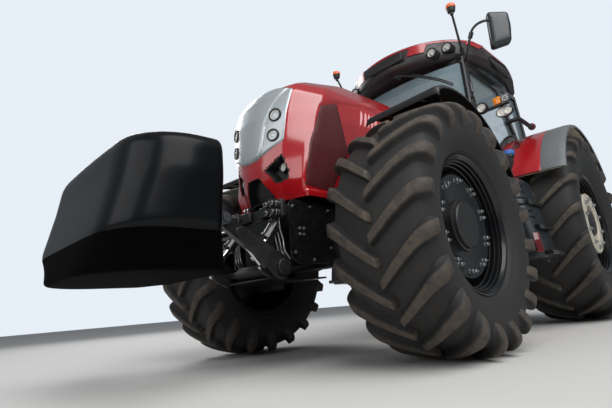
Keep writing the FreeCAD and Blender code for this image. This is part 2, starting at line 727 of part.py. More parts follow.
def hood_solid(grow, rear_x, dip):
    """The hood's closed form; dip lowers its foot, for the tool that hollows it."""
    wires = [hood_section(level, grow, dip if k == 0 else 0.0, rear_x)
             for k, level in enumerate(hood_levels)]
    return Part.makeLoft(wires, True, True)


def hood_recess(outer, side):
    """Open recess beside the mask's foot: its tool and the walls with the floor that line it."""
    outline = [(side * y, z) for y, z in recess_outline]
    cy = sum(y for y, z in outline) / len(outline)
    cz = sum(z for y, z in outline) / len(outline)
    grown = []
    for y, z in outline:
        k = 1.0 + 1.4 * recess_wall / math.hypot(y - cy, z - cz)
        grown.append((cy + (y - cy) * k, cz + (z - cz) * k))
    tool = plate_yz(outline, fa(recess_floor), fa(1000.0))
    lining = plate_yz(grown, fa(recess_floor - recess_wall), fa(1000.0))
    return tool, lining.common(outer).cut(tool)


def hood():
    rear_x = ra(cab_front + hood_rear_gap)
    outer = hood_solid(0.0, rear_x, 0.0)
    inner = hood_solid(-hood_wall, rear_x - 20.0, 20.0)
    shell = outer.cut(inner)
    lamps = []
    for y, z in lamp_places:
        for side in (1, -1):
            lamps.append(rod((fa(lamp_back), side * y, z), (fa(1000.0), side * y, z), lamp_r))
    face = plate_yz(mask_outline + [(-y, z) for y, z in mask_outline[::-1] if y > 0.0], fa(360.0), fa(1000.0))
    proud = hood_solid(mask_step, rear_x, 0.0)
    mask = proud.common(face).cut(outer)
    lenses = [proud.common(lamp) for lamp in lamps]
    for side in (1, -1):
        tool, lining = hood_recess(outer, side)
        shell = shell.cut(tool).fuse(lining)
        lenses.append(rod((fa(recess_floor), side * recess_lamp[0], recess_lamp[1]),
                          (fa(recess_floor + 30.0), side * recess_lamp[0], recess_lamp[1]), lamp_r))
    slots = []
    for top in louvre_tops:
        foot = top - louvre_lean
        half = louvre_width / 2.0
        slots.append(plate_xz([(fa(-foot - half), louvre_foot), (fa(-foot + half), louvre_foot),
                               (fa(-top + half), louvre_head), (fa(-top - half), louvre_head)], -700.0, 700.0))
    shell = shell.cut(slots)
    side_view = [(fa(x), z) for x, z in screen_outline]
    screens = []
    edge = hood_solid(screen_step, rear_x, 0.0)
    for side in (1, -1):
        y0 = min(side * 200.0, side * 600.0)
        screens.append(edge.common(plate_xz(side_view, y0, y0 + 400.0)).cut([outer, mask]))
    shell = shell.cut(lamps)
    mask = mask.cut(lamps)
    x = ra(hood_pivot[0])
    z = hood_pivot[1]
    for side in (1, -1):
        near = side * (hood_plate_y + hood_plate_t + 5.0)
        y0 = min(near, near + side * hood_ear_t)
        ear = plate_xz([(x - 30.0, z), (x, z - 30.0), (x + 30.0, z), (x + 90.0, z + 90.0),
                        (x - 34.0, z + 90.0)], y0, y0 + hood_ear_t).common(outer)
        ear = ear.cut(rod((x, y0 - 1.0, z), (x, y0 + hood_ear_t + 1.0, z), hood_pin_r + running_fit))
        shell = shell.fuse(ear)
    save("hood_shell", shell)
    save("hood_mask", mask)
    save("side_screens", *screens)
    save("headlamps", *lenses)


def front_linkage():
    """Lift arms, top link and cylinder pair that hold the weight, a parallel linkage."""
    ax, az = arm_pivot
    p = (fa(ax), az)
    h = polar(p, arm_length, arm_rise)
    c = polar(p, lift_on_arm, arm_rise)
    arms = []
    for side in (1, -1):
        y0 = min(side * (arm_y - arm_t / 2.0), side * (arm_y + arm_t / 2.0))
        arm = strap(p, h, 62.0, 42.0, y0, y0 + arm_t)
        arm = arm.cut([rod((p[0], y0 - 1.0, p[1]), (p[0], y0 + arm_t + 1.0, p[1]), pin_r + running_fit),
                       rod((h[0], y0 - 1.0, h[1]), (h[0], y0 + arm_t + 1.0, h[1]), pin_r + running_fit)])
        near = side * (lift_y + lift_eye_half + lift_eye_gap)
        far = side * (arm_y - arm_t / 2.0 + 1.0)
        arms.append(arm.fuse(rod((c[0], near, c[1]), (c[0], far, c[1]), 20.0)).removeSplitter())
    tie = rod((h[0] - 150.0, -arm_y + 15.0, h[1] - 60.0), (h[0] - 150.0, arm_y - 15.0, h[1] - 60.0), 30.0)
    save("front_arms", arms[0].fuse([arms[1], tie]).removeSplitter())

    t0 = (p[0], p[1] + top_link_rise)
    t1 = (h[0], h[1] + top_link_rise)
    link = strap(t0, t1, 34.0, 34.0, -28.0, 28.0)
    link = link.cut([rod((q[0], -29.0, q[1]), (q[0], 29.0, q[1]), pin_r + running_fit) for q in (t0, t1)])
    save("front_top_link", link)

    b = (fa(lift_base[0]), lift_base[1])
    reach = math.hypot(c[0] - b[0], c[1] - b[1])
    ux = (c[0] - b[0]) / reach
    uz = (c[1] - b[1]) / reach
    barrels = []
    rods = []
    for side in (1, -1):
        y = side * lift_y
        eye = rod((b[0], y - 24.0, b[1]), (b[0], y + 24.0, b[1]), 40.0)
        tube = rod((b[0] + 30.0 * ux, y, b[1] + 30.0 * uz), (b[0] + 215.0 * ux, y, b[1] + 215.0 * uz), 42.0)
        tube = tube.fuse(eye)
        tube = tube.cut([rod((b[0], y - 43.0, b[1]), (b[0], y + 43.0, b[1]), pin_r + running_fit),
                         rod((b[0] + 60.0 * ux, y, b[1] + 60.0 * uz),
                             (b[0] + 216.0 * ux, y, b[1] + 216.0 * uz), 22.0 + running_fit)])
        barrels.append(tube)
        bar = rod((b[0] + 70.0 * ux, y, b[1] + 70.0 * uz),
                  (b[0] + (reach - 20.0) * ux, y, b[1] + (reach - 20.0) * uz), 22.0)
        end = rod((c[0], y - lift_eye_half, c[1]), (c[0], y + lift_eye_half, c[1]), 36.0)
        rods.append(bar.fuse(end).removeSplitter())
    save("front_lift_cylinders", *barrels)
    save("front_lift_rods", *rods)
    front_weight(h, t1)


def weight_section(z, back, front, half, corner, chamfer):
    """Plan outline of the weight: flat back, chamfered flanks, round front corners."""
    k = corner * (1.0 - math.sqrt(0.5))
    rear_half = half - chamfer
    pts = [V(back, -rear_half, z), V(back + chamfer * 0.6, -half, z), V(front - corner, -half, z)]
    edges = [Part.makeLine(pts[0], pts[1]), Part.makeLine(pts[1], pts[2])]
    edges.append(Part.Arc(pts[2], V(front - k, -half + k, z), V(front, -half + corner, z)).toShape())
    edges.append(Part.makeLine(V(front, -half + corner, z), V(front, half - corner, z)))
    edges.append(Part.Arc(V(front, half - corner, z), V(front - k, half - k, z),
                          V(front - corner, half, z)).toShape())
    far = [V(front - corner, half, z), V(back + chamfer * 0.6, half, z), V(back, rear_half, z), pts[0]]
    edges.extend(Part.makeLine(a, b) for a, b in zip(far[:-1], far[1:]))
    return Part.Wire(edges)


def front_weight(hook, top_pin):
    """Cast block with a bevelled keel, and at its back the ears for the linkage's pins."""
    wires = [weight_section(z, fa(back), fa(front), half, corner, chamfer)
             for z, back, front, half, corner, chamfer in weight_levels]
    block = Part.makeLoft(wires, True, True)
    back = fa(weight_back)
    parts = []
    for side in (1, -1):
        for inner_y, ear in ((arm_y - arm_t / 2.0 - ear_clear - 26.0, 26.0),
                             (arm_y + arm_t / 2.0 + ear_clear, 26.0)):
            y0 = min(side * inner_y, side * (inner_y + ear))
            parts.append(plate_xz([(back + 10.0, hook[1] - 60.0), (hook[0], hook[1] - 38.0),
                                   (hook[0] - 38.0, hook[1]), (hook[0], hook[1] + 38.0),
                                   (back + 10.0, hook[1] + 60.0)], y0, y0 + ear))
        half = arm_t / 2.0 + ear_clear + 26.0
        parts.append(rod((hook[0], side * arm_y - half, hook[1]), (hook[0], side * arm_y + half, hook[1]),
                         pin_r))
        y0 = min(side * 33.0, side * 60.0)
        parts.append(plate_xz([(back + 10.0, top_pin[1] - 56.0), (top_pin[0], top_pin[1] - 38.0),
                               (top_pin[0] - 38.0, top_pin[1]), (top_pin[0], top_pin[1] + 38.0),
                               (back + 10.0, top_pin[1] + 44.0)], y0, y0 + 27.0))
    parts.append(rod((top_pin[0], -60.0, top_pin[1]), (top_pin[0], 60.0, top_pin[1]), pin_r))
    save("front_weight", block.fuse(parts).removeSplitter())


def rear_linkage():
    """Lower links, rocker arms, lift rods and the stowed upper link."""
    p = (ra(link_pivot[0]), link_pivot[1])
    tip = polar(p, link_length, 180.0 - link_rise)
    knee = polar(p, rod_on_link, 180.0 - link_rise)
    links = []
    for side in (1, -1):
        y0 = side * link_y
        link = strap(p, tip, 46.0, link_tip_r, y0 - link_t / 2.0, y0 + link_t / 2.0)
        link = link.cut(rod((p[0], y0 - link_t, p[1]), (p[0], y0 + link_t, p[1]), pin_r + running_fit))
        link = link.cut(rod((tip[0], y0 - link_t, tip[1]), (tip[0], y0 + link_t, tip[1]), link_bore_r))
        stub = rod((knee[0], y0, knee[1]), (knee[0], side * (rod_y - 22.0 - lift_eye_gap), knee[1]), 18.0)
        links.append(link.fuse(stub).removeSplitter())
    save("rear_lower_links", *links)

    s = (ra(rock_shaft[0]), rock_shaft[1])
    e = polar(s, rock_arm, 180.0 - rock_rise)
    arms = []
    for side in (1, -1):
        y0 = side * rock_arm_y
        arm = strap(s, e, 88.0, 40.0, y0 - link_t / 2.0, y0 + link_t / 2.0)
        arm = arm.cut(rod((s[0], y0 - link_t, s[1]), (s[0], y0 + link_t, s[1]), rock_r + running_fit))
        stub = rod((e[0], y0, e[1]), (e[0], side * rod_y + side * 26.0, e[1]), 18.0)
        arms.append(arm.fuse(stub).removeSplitter())
    save("rear_rocker_arms", *arms)

    rods = []
    for side in (1, -1):
        y = side * rod_y
        bar = rod((e[0], y, e[1]), (knee[0], y, knee[1]), 20.0)
        top = rod((e[0], y - 22.0, e[1]), (e[0], y + 22.0, e[1]), 36.0)
        foot = rod((knee[0], y - 22.0, knee[1]), (knee[0], y + 22.0, knee[1]), 36.0)
        bar = bar.fuse([top, foot])
        bar = bar.cut(rod((e[0], y - 40.0, e[1]), (e[0], y + 40.0, e[1]), 18.0 + running_fit))
        rods.append(bar.removeSplitter())
    save("rear_lift_rods", *rods)

    u = (ra(upper_pivot[0]), upper_pivot[1])
    v = polar(u, upper_length, 180.0 - upper_rise)
    link = strap(u, v, 32.0, 30.0, -24.0, 24.0)
    link = link.cut(rod((u[0], -30.0, u[1]), (u[0], 30.0, u[1]), pin_r + running_fit))
    save("rear_top_link", link)


def leaned(shape, side):
    """Side pieces are drawn upright at y = 0 and leaned in to the cab's flank."""
    tilt = math.degrees(math.atan2(belt_half - roof_half, roof_z0 - lean_z))
    shape = shape.copy()
    shape.rotate(V(0, 0, lean_z), X_AXIS, tilt)
    shape.translate(V(0, belt_half, 0))
    return shape if side > 0 else mirrored(shape)


def door_front_x(z):
    """The door's front edge at height z, ahead of the rear axle; the front post follows it."""
    share = (z - door_foot_z) / (door_head_z - door_foot_z)
    return door_front_foot + (door_front_head - door_front_foot) * share


def door_rear_x(z):
    low = rear_tyre_r + math.sqrt(door_arch_r ** 2 - door_rear_foot ** 2)
    return door_rear_foot + (door_rear_head - door_rear_foot) * (z - low) / (door_head_z - low)


def hinge_line(z):
    """Point of the door hinges' axis at height z, in the upright drawing of a side."""
    return V(ra(door_front_x(z) + hinge_ahead), hinge_out, z)


def door_edge(inset):
    """Door outline in side view, round the rear wheel's arch, set in by inset."""
    arch = door_arch_r + inset
    axle = (rear_axle_x, rear_tyre_r)
    bottom = door_foot_z + inset
    foot_a = math.degrees(math.asin((bottom - axle[1]) / arch))
    front_foot = (ra(door_front_foot) - inset, bottom)
    front_head = (ra(door_front_head) - inset, door_head_z - inset)
    rear_head = (ra(door_rear_head) + inset, door_head_z - inset)
    x_rear = ra(door_rear_foot) + inset
    rear_a = math.degrees(math.acos((x_rear - axle[0]) / arch))
    points = [front_foot, front_head, rear_head]
    for k in range(9):
        a = rear_a + (foot_a - rear_a) * k / 8.0
        points.append(polar(axle, arch, a))
    return points


def cab():
    """Floor, posts and walls, roof, fixed glass and the two doors."""
    floor = plate_xy([(ra(cab_rear), -arch_inner_y), (ra(cab_step_x), -arch_inner_y),
                      (ra(cab_step_x), -belt_half), (ra(cab_front), -belt_half),
                      (ra(cab_front), belt_half), (ra(cab_step_x), belt_half),
                      (ra(cab_step_x), arch_inner_y), (ra(cab_rear), arch_inner_y)],
                     cab_floor_z - floor_t, cab_floor_z)
    save("cab_floor", floor)

    axle = (rear_axle_x, rear_tyre_r)
    arch_top = rear_tyre_r + arch_gap + arch_wall + 1.0
    sill_z = rear_tyre_r + arch_top + 32.0
    head_z = door_head_z + door_gap
    parts = []
    for side in (1, -1):
        lean_parts = []
        front_foot = door_front_x(cab_floor_z) + door_gap
        front_head = door_front_x(roof_z0) + door_gap
        lean_parts.append(plate_xz([(ra(front_foot), cab_floor_z), (ra(front_foot + post), cab_floor_z),
                                    (ra(front_head + post), roof_z0), (ra(front_head), roof_z0)], -post, 0.0))
        for z in hinge_heights:
            lean_parts.extend(hinge_ears(z))
        rear_foot = door_rear_x(sill_z) - door_gap
        rear_head = door_rear_x(roof_z0) - door_gap
        lean_parts.append(plate_xz([(ra(rear_foot - post), sill_z), (ra(rear_foot), sill_z),
                                    (ra(rear_head), roof_z0), (ra(rear_head - post), roof_z0)], -post, 0.0))
        lean_parts.append(plate_xz([(ra(cab_rear), sill_z), (ra(cab_rear + post), sill_z),
                                    (ra(cab_rear + post), roof_z0), (ra(cab_rear), roof_z0)], -post, 0.0))
        lean_parts.append(box(ra(cab_rear), ra(front_head + post), -post, 0.0, head_z, roof_z0))
        a0 = math.degrees(math.acos(rear_foot / arch_top))
        a1 = math.degrees(math.acos(cab_rear / arch_top))
        under = [polar(axle, arch_top, a0 + (a1 - a0) * k / 6.0) for k in range(7)]
        lean_parts.append(plate_xz(under + [(ra(cab_rear), sill_z + 10.0), (ra(rear_foot), sill_z + 10.0)],
                                   -post, 0.0))
        for piece in lean_parts:
            parts.append(leaned(piece, side))
    top_half = roof_half - 10.0
    parts.append(box(ra(front_head), ra(front_head + post), -top_half, top_half, head_z, roof_z0))
    parts.append(box(ra(cab_rear), ra(cab_rear + post), -top_half, top_half, head_z, roof_z0))
    low = rear_tyre_r + math.sqrt(arch_top ** 2 - cab_rear ** 2) + 10.0
    edge = belt_half - (belt_half - roof_half) * (low - lean_z) / (roof_z0 - lean_z)
    outer = [(arch_inner_y, cab_floor_z), (arch_inner_y, low), (edge, low), (roof_half, roof_z0)]
    inner = [(arch_inner_y - post, rear_sill_z), (arch_inner_y - post, low), (edge - post, low + 60.0),
             (roof_half - post, head_z)]
    parts.append(both_sides_yz(outer, ra(cab_rear), wall_t).cut(
        both_sides_yz(inner, ra(cab_rear) - 1.0, wall_t + 2.0)))
    front_wall = bowed_wall(cab_floor_z, cowl_z, wall_t)
    front_wall.translate(V(-weld, 0, 0))
    parts.append(front_wall)
    frame = parts[0].fuse(parts[1:]).removeSplitter().cut([nodes["cab_floor"], nodes["rear_fenders"]])
    save("cab_frame", frame)

    panes = [bowed_wall(cowl_z, head_z, glass_t).cut(frame)]
    panes.append(both_sides_yz(inner, ra(cab_rear) + wall_t / 2.0, glass_t).cut(frame))
    for side in (1, -1):
        pane = plate_xz([(ra(cab_rear + post), sill_z + 10.0), (ra(rear_foot - post + 2.0), sill_z + 10.0),
                         (ra(rear_head - post), head_z), (ra(cab_rear + post), head_z)],
                        -30.0, -30.0 + glass_t)
        panes.append(leaned(pane, side).cut(frame))
    save("cab_glass", *panes)

    ring = plate_xz(door_edge(0.0), -door_t, 0.0).cut(plate_xz(door_edge(door_frame_w), -door_t - 1, 1.0))
    ring = ring.fuse([hinge_barrel(z) for z in hinge_heights]).removeSplitter()
    pane = plate_xz(door_edge(door_frame_w), -door_t / 2.0 - glass_t / 2.0, -door_t / 2.0 + glass_t / 2.0)
    for side, name in ((1, "left"), (-1, "right")):
        save("door_frame_" + name, leaned(ring, side))
        save("door_glass_" + name, leaned(pane, side))


def hinge_ears(z):
    """Two ears on the front post with the pin that the door's barrel turns on."""
    half = hinge_length / 2.0
    low = hinge_line(z - half - hinge_ear)
    high = hinge_line(z + half + hinge_ear)
    ears = [rod(tuple(low), tuple(high), hinge_pin_r)]
    for z0 in (z - half - hinge_ear, z + half + 1.0):
        a = hinge_line(z0)
        b = hinge_line(z0 + hinge_ear - 1.0)
        ears.append(rod(tuple(a), tuple(b), hinge_r))
        ears.append(plate_xz([(a.x, a.z + 5.0), (a.x + 52.0, a.z + 5.0), (b.x + 52.0, b.z - 5.0),
                              (b.x, b.z - 5.0)], -5.0, hinge_r))
    return ears


def hinge_barrel(z):
    half = hinge_length / 2.0
    a = hinge_line(z - half)
    b = hinge_line(z + half)
    leaf = plate_xz([(a.x - 52.0, a.z + 7.0), (a.x, a.z + 7.0), (b.x, b.z - 7.0), (b.x - 52.0, b.z - 7.0)],
                    -5.0, hinge_r)
    barrel = leaf.fuse(rod(tuple(a), tuple(b), hinge_r))
    return barrel.cut(rod(tuple(hinge_line(z - half - 1.0)), tuple(hinge_line(z + half + 1.0)),
                          hinge_pin_r + running_fit))


def both_sides_yz(half, x, thickness):
    """Plate across the machine whose outline is half and its mirror image."""
    return plate_yz(half + [(-y, z) for y, z in half[::-1]], x, x + thickness)


def bowed_wall(z0, z1, thickness):
    """Wall or pane across the cab's front, between the front posts, bowed forward."""
    rings = []
    for z in (z0, z1):
        share = (z - cab_floor_z) / (roof_z0 - cab_floor_z)
        x = ra(door_front_x(z) + door_gap + post)
        lean = (z - lean_z) / (roof_z0 - lean_z)
        half = belt_half - (belt_half - roof_half) * lean - post / 2.0
        bow = screen_bow_foot + (screen_bow_head - screen_bow_foot) * share
        outer = Part.Arc(V(x, -half, z), V(x + bow, 0, z), V(x, half, z)).toShape()
        inner = Part.Arc(V(x, half - thickness, z), V(x + bow - thickness, 0, z),
                         V(x, thickness - half, z)).toShape()
        rings.append(Part.Wire([outer, Part.makeLine(V(x, half, z), V(x, half - thickness, z)), inner,
                                Part.makeLine(V(x, thickness - half, z), V(x, -half, z))]))
    return Part.makeLoft(rings, True, True)


def roof_section(z, inset):
    """Plan outline of the roof: bowed front, straight sides, flat back."""
    corner = V(ra(roof_corner - inset * 0.3), -roof_half_out + inset, z)
    tip = V(ra(roof_front - inset), 0, z)
    back = ra(roof_back + inset)
    rear_half = roof_half_out - inset - 20.0
    edges = [Part.makeLine(V(back, -rear_half, z), corner),
             Part.Arc(corner, tip, V(corner.x, -corner.y, z)).toShape(),
             Part.makeLine(V(corner.x, -corner.y, z), V(back, rear_half, z)),
             Part.makeLine(V(back, rear_half, z), V(back, -rear_half, z))]
    return Part.Wire(edges)


def roof_and_lamps():
    roof = Part.makeLoft([roof_section(z, inset) for z, inset in roof_levels], True, True)
    save("cab_roof", roof)
    lamps = []
    for y, z in roof_lamp_places:
        for side in (1, -1):
            lamp = rod((ra(roof_corner - 100.0), side * y, z), (ra(roof_front), side * y, z), 48.0)
            thick = Part.Face(roof_section(z - 60.0, -26.0)).extrude(V(0, 0, 120.0))
            lamps.append(lamp.common(thick).cut(roof))
    solids = []
    for lamp in lamps:
        solids.append(max(lamp.Solids, key=lambda solid: solid.CenterOfMass.x))
    save("roof_lamps", *solids)
    beacons = []
    for side in (1, -1):
        foot = (ra(beacon_foot[0]), side * beacon_foot[1], beacon_foot[2])
        head = (ra(beacon_head[0]), side * beacon_head[1], beacon_head[2])
        stalk = rod(foot, head, 13.0)
        dome = rod(head, (head[0], head[1], head[2] + 70.0), 46.0)
        beacons.append(stalk.fuse(dome).cut(roof).removeSplitter())
    save("beacons", *[max(b.Solids, key=lambda solid: solid.Volume) for b in beacons])
    mirrors = []
    for side in (1, -1):
        foot = V(ra(mirror_foot[0]), side * mirror_foot[1], mirror_foot[2])
        knee = V(ra(mirror_knee[0]), side * mirror_knee[1], mirror_knee[2])
        end = V(ra(mirror_x), side * mirror_in_y, mirror_knee[2])
        head = box(ra(mirror_x - 40.0), ra(mirror_x + 40.0), min(side * mirror_in_y, side * mirror_out_y),
                   max(side * mirror_in_y, side * mirror_out_y), mirror_z0, mirror_z1)
        arm = rod(tuple(foot), tuple(knee), 13.0).fuse([rod(tuple(knee), tuple(end), 13.0),
                                                       Part.makeSphere(14.0, knee)])
        mirror = arm.fuse(head).cut(nodes["cab_frame"]).cut(roof)
        mirrors.append(max(mirror.Solids, key=lambda solid: solid.Volume))
    save("mirrors", *mirrors)


def roof_plate():
    """Blank upright plate on the roof's front."""
    plate = box(ra(roof_front - 120.0), ra(roof_front + roof_plate_t), -roof_plate_half, roof_plate_half,
                roof_plate_z0, roof_plate_z1).cut(nodes["cab_roof"])
    save("roof_plate", max(plate.Solids, key=lambda solid: solid.Volume))


def pillar_lamps():
    """Arm from each front post with a round lamp, an oval lamp below and a turn lamp above."""
    parts = []
    for a, b in zip(pillar_arm[:-1], pillar_arm[1:]):
        parts.append(rod((ra(a[0]), a[1], pillar_arm_z), (ra(b[0]), b[1], pillar_arm_z), pillar_arm_r))
        parts.append(Part.makeSphere(pillar_arm_r, V(ra(b[0]), b[1], pillar_arm_z)))
    x = ra(pillar_arm[-1][0])
    y, z, r = pillar_round
    parts.append(rod((x - 15.0, y, z), (x + 45.0, y, z), r))
    y, z, half_y, half_z = pillar_oval
    outline = Part.Ellipse(V(0, 0, 0), half_y, half_z).toShape()
    face = Part.Face(Part.Wire(outline))
    face.rotate(V(0, 0, 0), V(1, 1, 1), 120.0)
    face.translate(V(x - 20.0, y, z))
    parts.append(face.extrude(V(75.0, 0, 0)))
    parts.append(rod((x, y, z), (x, y, pillar_arm_z), 12.0))
    y0, y1, z0, z1 = pillar_turn
    parts.append(box(x - 22.0, x + 50.0, y0, y1, z0, z1))
    lamp = parts[0].fuse(parts[1:]).cut(nodes["cab_frame"])
    lamp = max(lamp.Solids, key=lambda solid: solid.Volume).removeSplitter()
    save("pillar_lamps", lamp, mirrored(lamp))


def rear_fenders():
    """Arch over each rear wheel with a wall on the cab's side, and its grey outer band."""
    axle = (rear_axle_x, rear_tyre_r)
    r0 = rear_tyre_r + arch_gap
    r1 = r0 + arch_wall
    steps = 16
    arc_out = [polar(axle, r1, arch_a0 + (arch_a1 - arch_a0) * k / steps) for k in range(steps + 1)]
    arc_in = [polar(axle, r0, arch_a0 + (arch_a1 - arch_a0) * k / steps) for k in range(steps + 1)]
    wall_in = [polar(axle, arch_wall_r, arch_a0), polar(axle, arch_wall_r, arch_a1)]
    fenders = []
    bands = []
    for side in (1, -1):
        y0 = min(side * arch_inner_y, side * arch_band_y)
        skin = plate_xz(arc_out + arc_in[::-1], y0, y0 + arch_band_y - arch_inner_y)
        w0 = min(side * arch_inner_y, side * (arch_inner_y + arch_wall))
        wall = plate_xz(arc_out + [wall_in[1]] + [polar(axle, arch_wall_r, 85.0)] + [wall_in[0]], w0, w0 + arch_wall)
        fenders.append(skin.fuse(wall).removeSplitter())
        b0 = min(side * arch_band_y, side * arch_outer_y)
        bands.append(plate_xz(arc_out + arc_in[::-1], b0, b0 + arch_outer_y - arch_band_y))
    save("rear_fenders", *fenders)
    save("fender_bands", *bands)


def flanks():
    """Fuel tank and steps on the left, battery box on the right, exhaust."""
    for side, name in ((1, "fuel_tank"), (-1, "battery_box")):
        y0 = min(side * tank_in_y, side * tank_out_y)
        tank = box(ra(tank_back), ra(tank_front), y0, y0 + tank_out_y - tank_in_y, tank_z0, tank_z1)
        save(name, tank)
    steps = []
    for side in (1, -1):
        for z, reach in step_levels:
            y0 = min(side * (tank_out_y + 0.0), side * (tank_out_y + reach))
            tread = box(ra(tank_back + 20.0), ra(tank_front - 20.0), y0, y0 + reach, z, z + 35.0)
            steps.append(tread)
    save("cab_steps", *steps)
    cap = rod((ra(tank_front - 80.0), tank_out_y - 90.0, tank_z1),
              (ra(tank_front - 80.0), tank_out_y - 90.0, tank_z1 + 80.0), 45.0)
    save("tank_cap", cap)
    x = ra(exhaust_x)
    stack = rod((x, -exhaust_y, frame_z0 + 60.0), (x, -exhaust_y, exhaust_top), exhaust_r)
    foot = box(x - 60.0, x + 60.0, -exhaust_y, -gearbox_half, frame_z0 + 60.0, frame_z1)
    save("exhaust", stack.fuse(foot).removeSplitter())


def cab_inside():
    """Seat on its base, steering column and side console."""
    x = ra(seat_x)
    base = box(x - 180, x + 180, -160.0, 160.0, cab_floor_z, cab_floor_z + 330.0)
    cushion = box(x - 260, x + 270, -260.0, 260.0, cab_floor_z + 330.0, cab_floor_z + 470.0)
    back = plate_xz([(x - 260, cab_floor_z + 400.0), (x - 130, cab_floor_z + 470.0),
                     (x - 210, cab_floor_z + 1130.0), (x - 330, cab_floor_z + 1130.0)], -240.0, 240.0)
    save("seat", base.fuse([cushion, back]).removeSplitter())
    cx = ra(column_x)
    column = plate_xz([(cx, cab_floor_z), (cx + 200.0, cab_floor_z), (cx + 120.0, cab_floor_z + 620.0),
                       (cx - 20.0, cab_floor_z + 640.0)], -90.0, 90.0)
    wheel = Part.makeTorus(210.0, 16.0, V(cx + 20.0, 0, cab_floor_z + 720.0), V(-0.35, 0, 1))
    hub = rod((cx + 50.0, 0, cab_floor_z + 600.0), (cx + 15.0, 0, cab_floor_z + 720.0), 34.0)
    spoke = box(cx - 20.0, cx + 60.0, -205.0, 205.0, cab_floor_z + 700.0, cab_floor_z + 730.0)
    save("steering_column", column.fuse([hub, spoke, wheel]).removeSplitter())
    console = box(x - 150.0, x + 420.0, -620.0, -300.0, cab_floor_z, cab_floor_z + 560.0)
    save("side_console", console)


front_wheels()
rear_wheels()
knuckles()
front_axle()
steering_rod()
front_fenders()
chassis()
hood_bracket()
hood()
front_linkage()
rear_linkage()
rear_fenders()
cab()
roof_and_lamps()
roof_plate()
pillar_lamps()
flanks()
cab_inside()

os.makedirs("parts", exist_ok=True)
for name, shape in nodes.items():
    shape.exportStep("parts/" + name + ".step")
    print(name, len(shape.Solids), shape.isValid(), round(shape.Volume / 1e6, 1))
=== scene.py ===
import math
from functools import lru_cache

import bpy
import numpy as np
from mathutils import Matrix, Vector


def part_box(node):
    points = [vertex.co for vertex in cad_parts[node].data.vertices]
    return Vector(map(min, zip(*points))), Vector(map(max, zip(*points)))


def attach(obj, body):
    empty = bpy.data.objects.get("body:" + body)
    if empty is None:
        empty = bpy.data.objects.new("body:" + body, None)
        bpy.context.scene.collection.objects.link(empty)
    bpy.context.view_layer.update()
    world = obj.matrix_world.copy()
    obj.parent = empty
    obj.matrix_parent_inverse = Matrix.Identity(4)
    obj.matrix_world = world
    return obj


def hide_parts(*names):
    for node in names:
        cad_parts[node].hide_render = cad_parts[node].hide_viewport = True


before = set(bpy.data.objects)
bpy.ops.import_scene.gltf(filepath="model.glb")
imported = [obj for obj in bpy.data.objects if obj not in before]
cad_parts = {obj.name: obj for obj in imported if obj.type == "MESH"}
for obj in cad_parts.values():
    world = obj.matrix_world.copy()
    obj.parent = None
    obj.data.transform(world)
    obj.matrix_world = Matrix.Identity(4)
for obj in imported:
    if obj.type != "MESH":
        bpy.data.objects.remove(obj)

bl_info = {
    "name": "Farm tractor dressing",
    "version": (1, 0, 0),
    "blender": (4, 5, 0),
    "location": "3D View > Sidebar > Tractor",
    "description": "Dresses a packed farm tractor with finished surfaces, small parts and a studio",
    "category": "Object",
}


def linear(hex_colour):
    """sRGB hex to linear RGB by the sRGB transfer curve."""
    value = hex_colour.lstrip("#")
    srgb = np.array([int(value[i:i + 2], 16) for i in (0, 2, 4)]) / 255.0
    return tuple(np.where(srgb <= 0.04045, srgb / 12.92, ((srgb + 0.055) / 1.055) ** 2.4))


def rgba(colour):
    """Linear RGBA of a hex colour, or of a colour that is linear already."""
    return (*(linear(colour) if isinstance(colour, str) else colour), 1.0)


# Shader building

def add(tree, kind, settings=None, values=None, links=None):
    """Adds one node; values set its sockets and links join sockets of other nodes to them."""
    node = tree.nodes.new(kind)
    for key, value in (settings or {}).items():
        setattr(node, key, value)
    for key, value in (values or {}).items():
        node.inputs[key].default_value = value
    for key, (source, output) in (links or {}).items():
        tree.links.new(source.outputs[output], node.inputs[key])
    return node


def new_material(name, sockets):
    """New material whose Principled shader has its own sockets set: material, tree, shader."""
    made = bpy.data.materials.new(name)
    made.use_nodes = True
    tree = made.node_tree
    tree.nodes.clear()
    shader = add(tree, "ShaderNodeBsdfPrincipled", values=sockets)
    add(tree, "ShaderNodeOutputMaterial", links={"Surface": (shader, "BSDF")})
    return made, tree, shader


def noise(tree, size_mm, detail=3.0, roughness=0.55, stretch=(1.0, 1.0, 1.0)):
    """Noise on object coordinates whose blotches are about size_mm across."""
    place = add(tree, "ShaderNodeTexCoord")
    scaled = add(tree, "ShaderNodeMapping", values={"Scale": stretch}, links={"Vector": (place, "Object")})
    return add(tree, "ShaderNodeTexNoise",
               values={"Scale": 1000.0 / size_mm, "Detail": detail, "Roughness": roughness},
               links={"Vector": (scaled, "Vector")})


def colour_by(tree, shader, pattern, output, stops, dust=0.0, dust_hex="#8C8069", dust_mm=34.0):
    """Base colour by a ramp of (position, colour) over a pattern, under a thin uneven film of dust."""
    source, socket = add(tree, "ShaderNodeValToRGB", links={"Fac": (pattern, output)}), "Color"
    band = source.color_ramp
    for element, (position, colour) in zip(list(band.elements), (stops[0], stops[-1])):
        element.position = position
        element.color = rgba(colour)
    for position, colour in stops[1:-1]:
        band.elements.new(position).color = rgba(colour)
    if dust > 0.0:
        cover = add(tree, "ShaderNodeMapRange", values={"From Min": 0.45, "From Max": 0.85, "To Max": dust},
                    links={"Value": (noise(tree, dust_mm, 8.0, 0.7), "Fac")})
        source = add(tree, "ShaderNodeMix", {"data_type": "RGBA"}, {7: rgba(dust_hex)},
                     {0: (cover, "Result"), 6: (source, socket)})
        socket = 2
    tree.links.new(source.outputs[socket], shader.inputs["Base Color"])


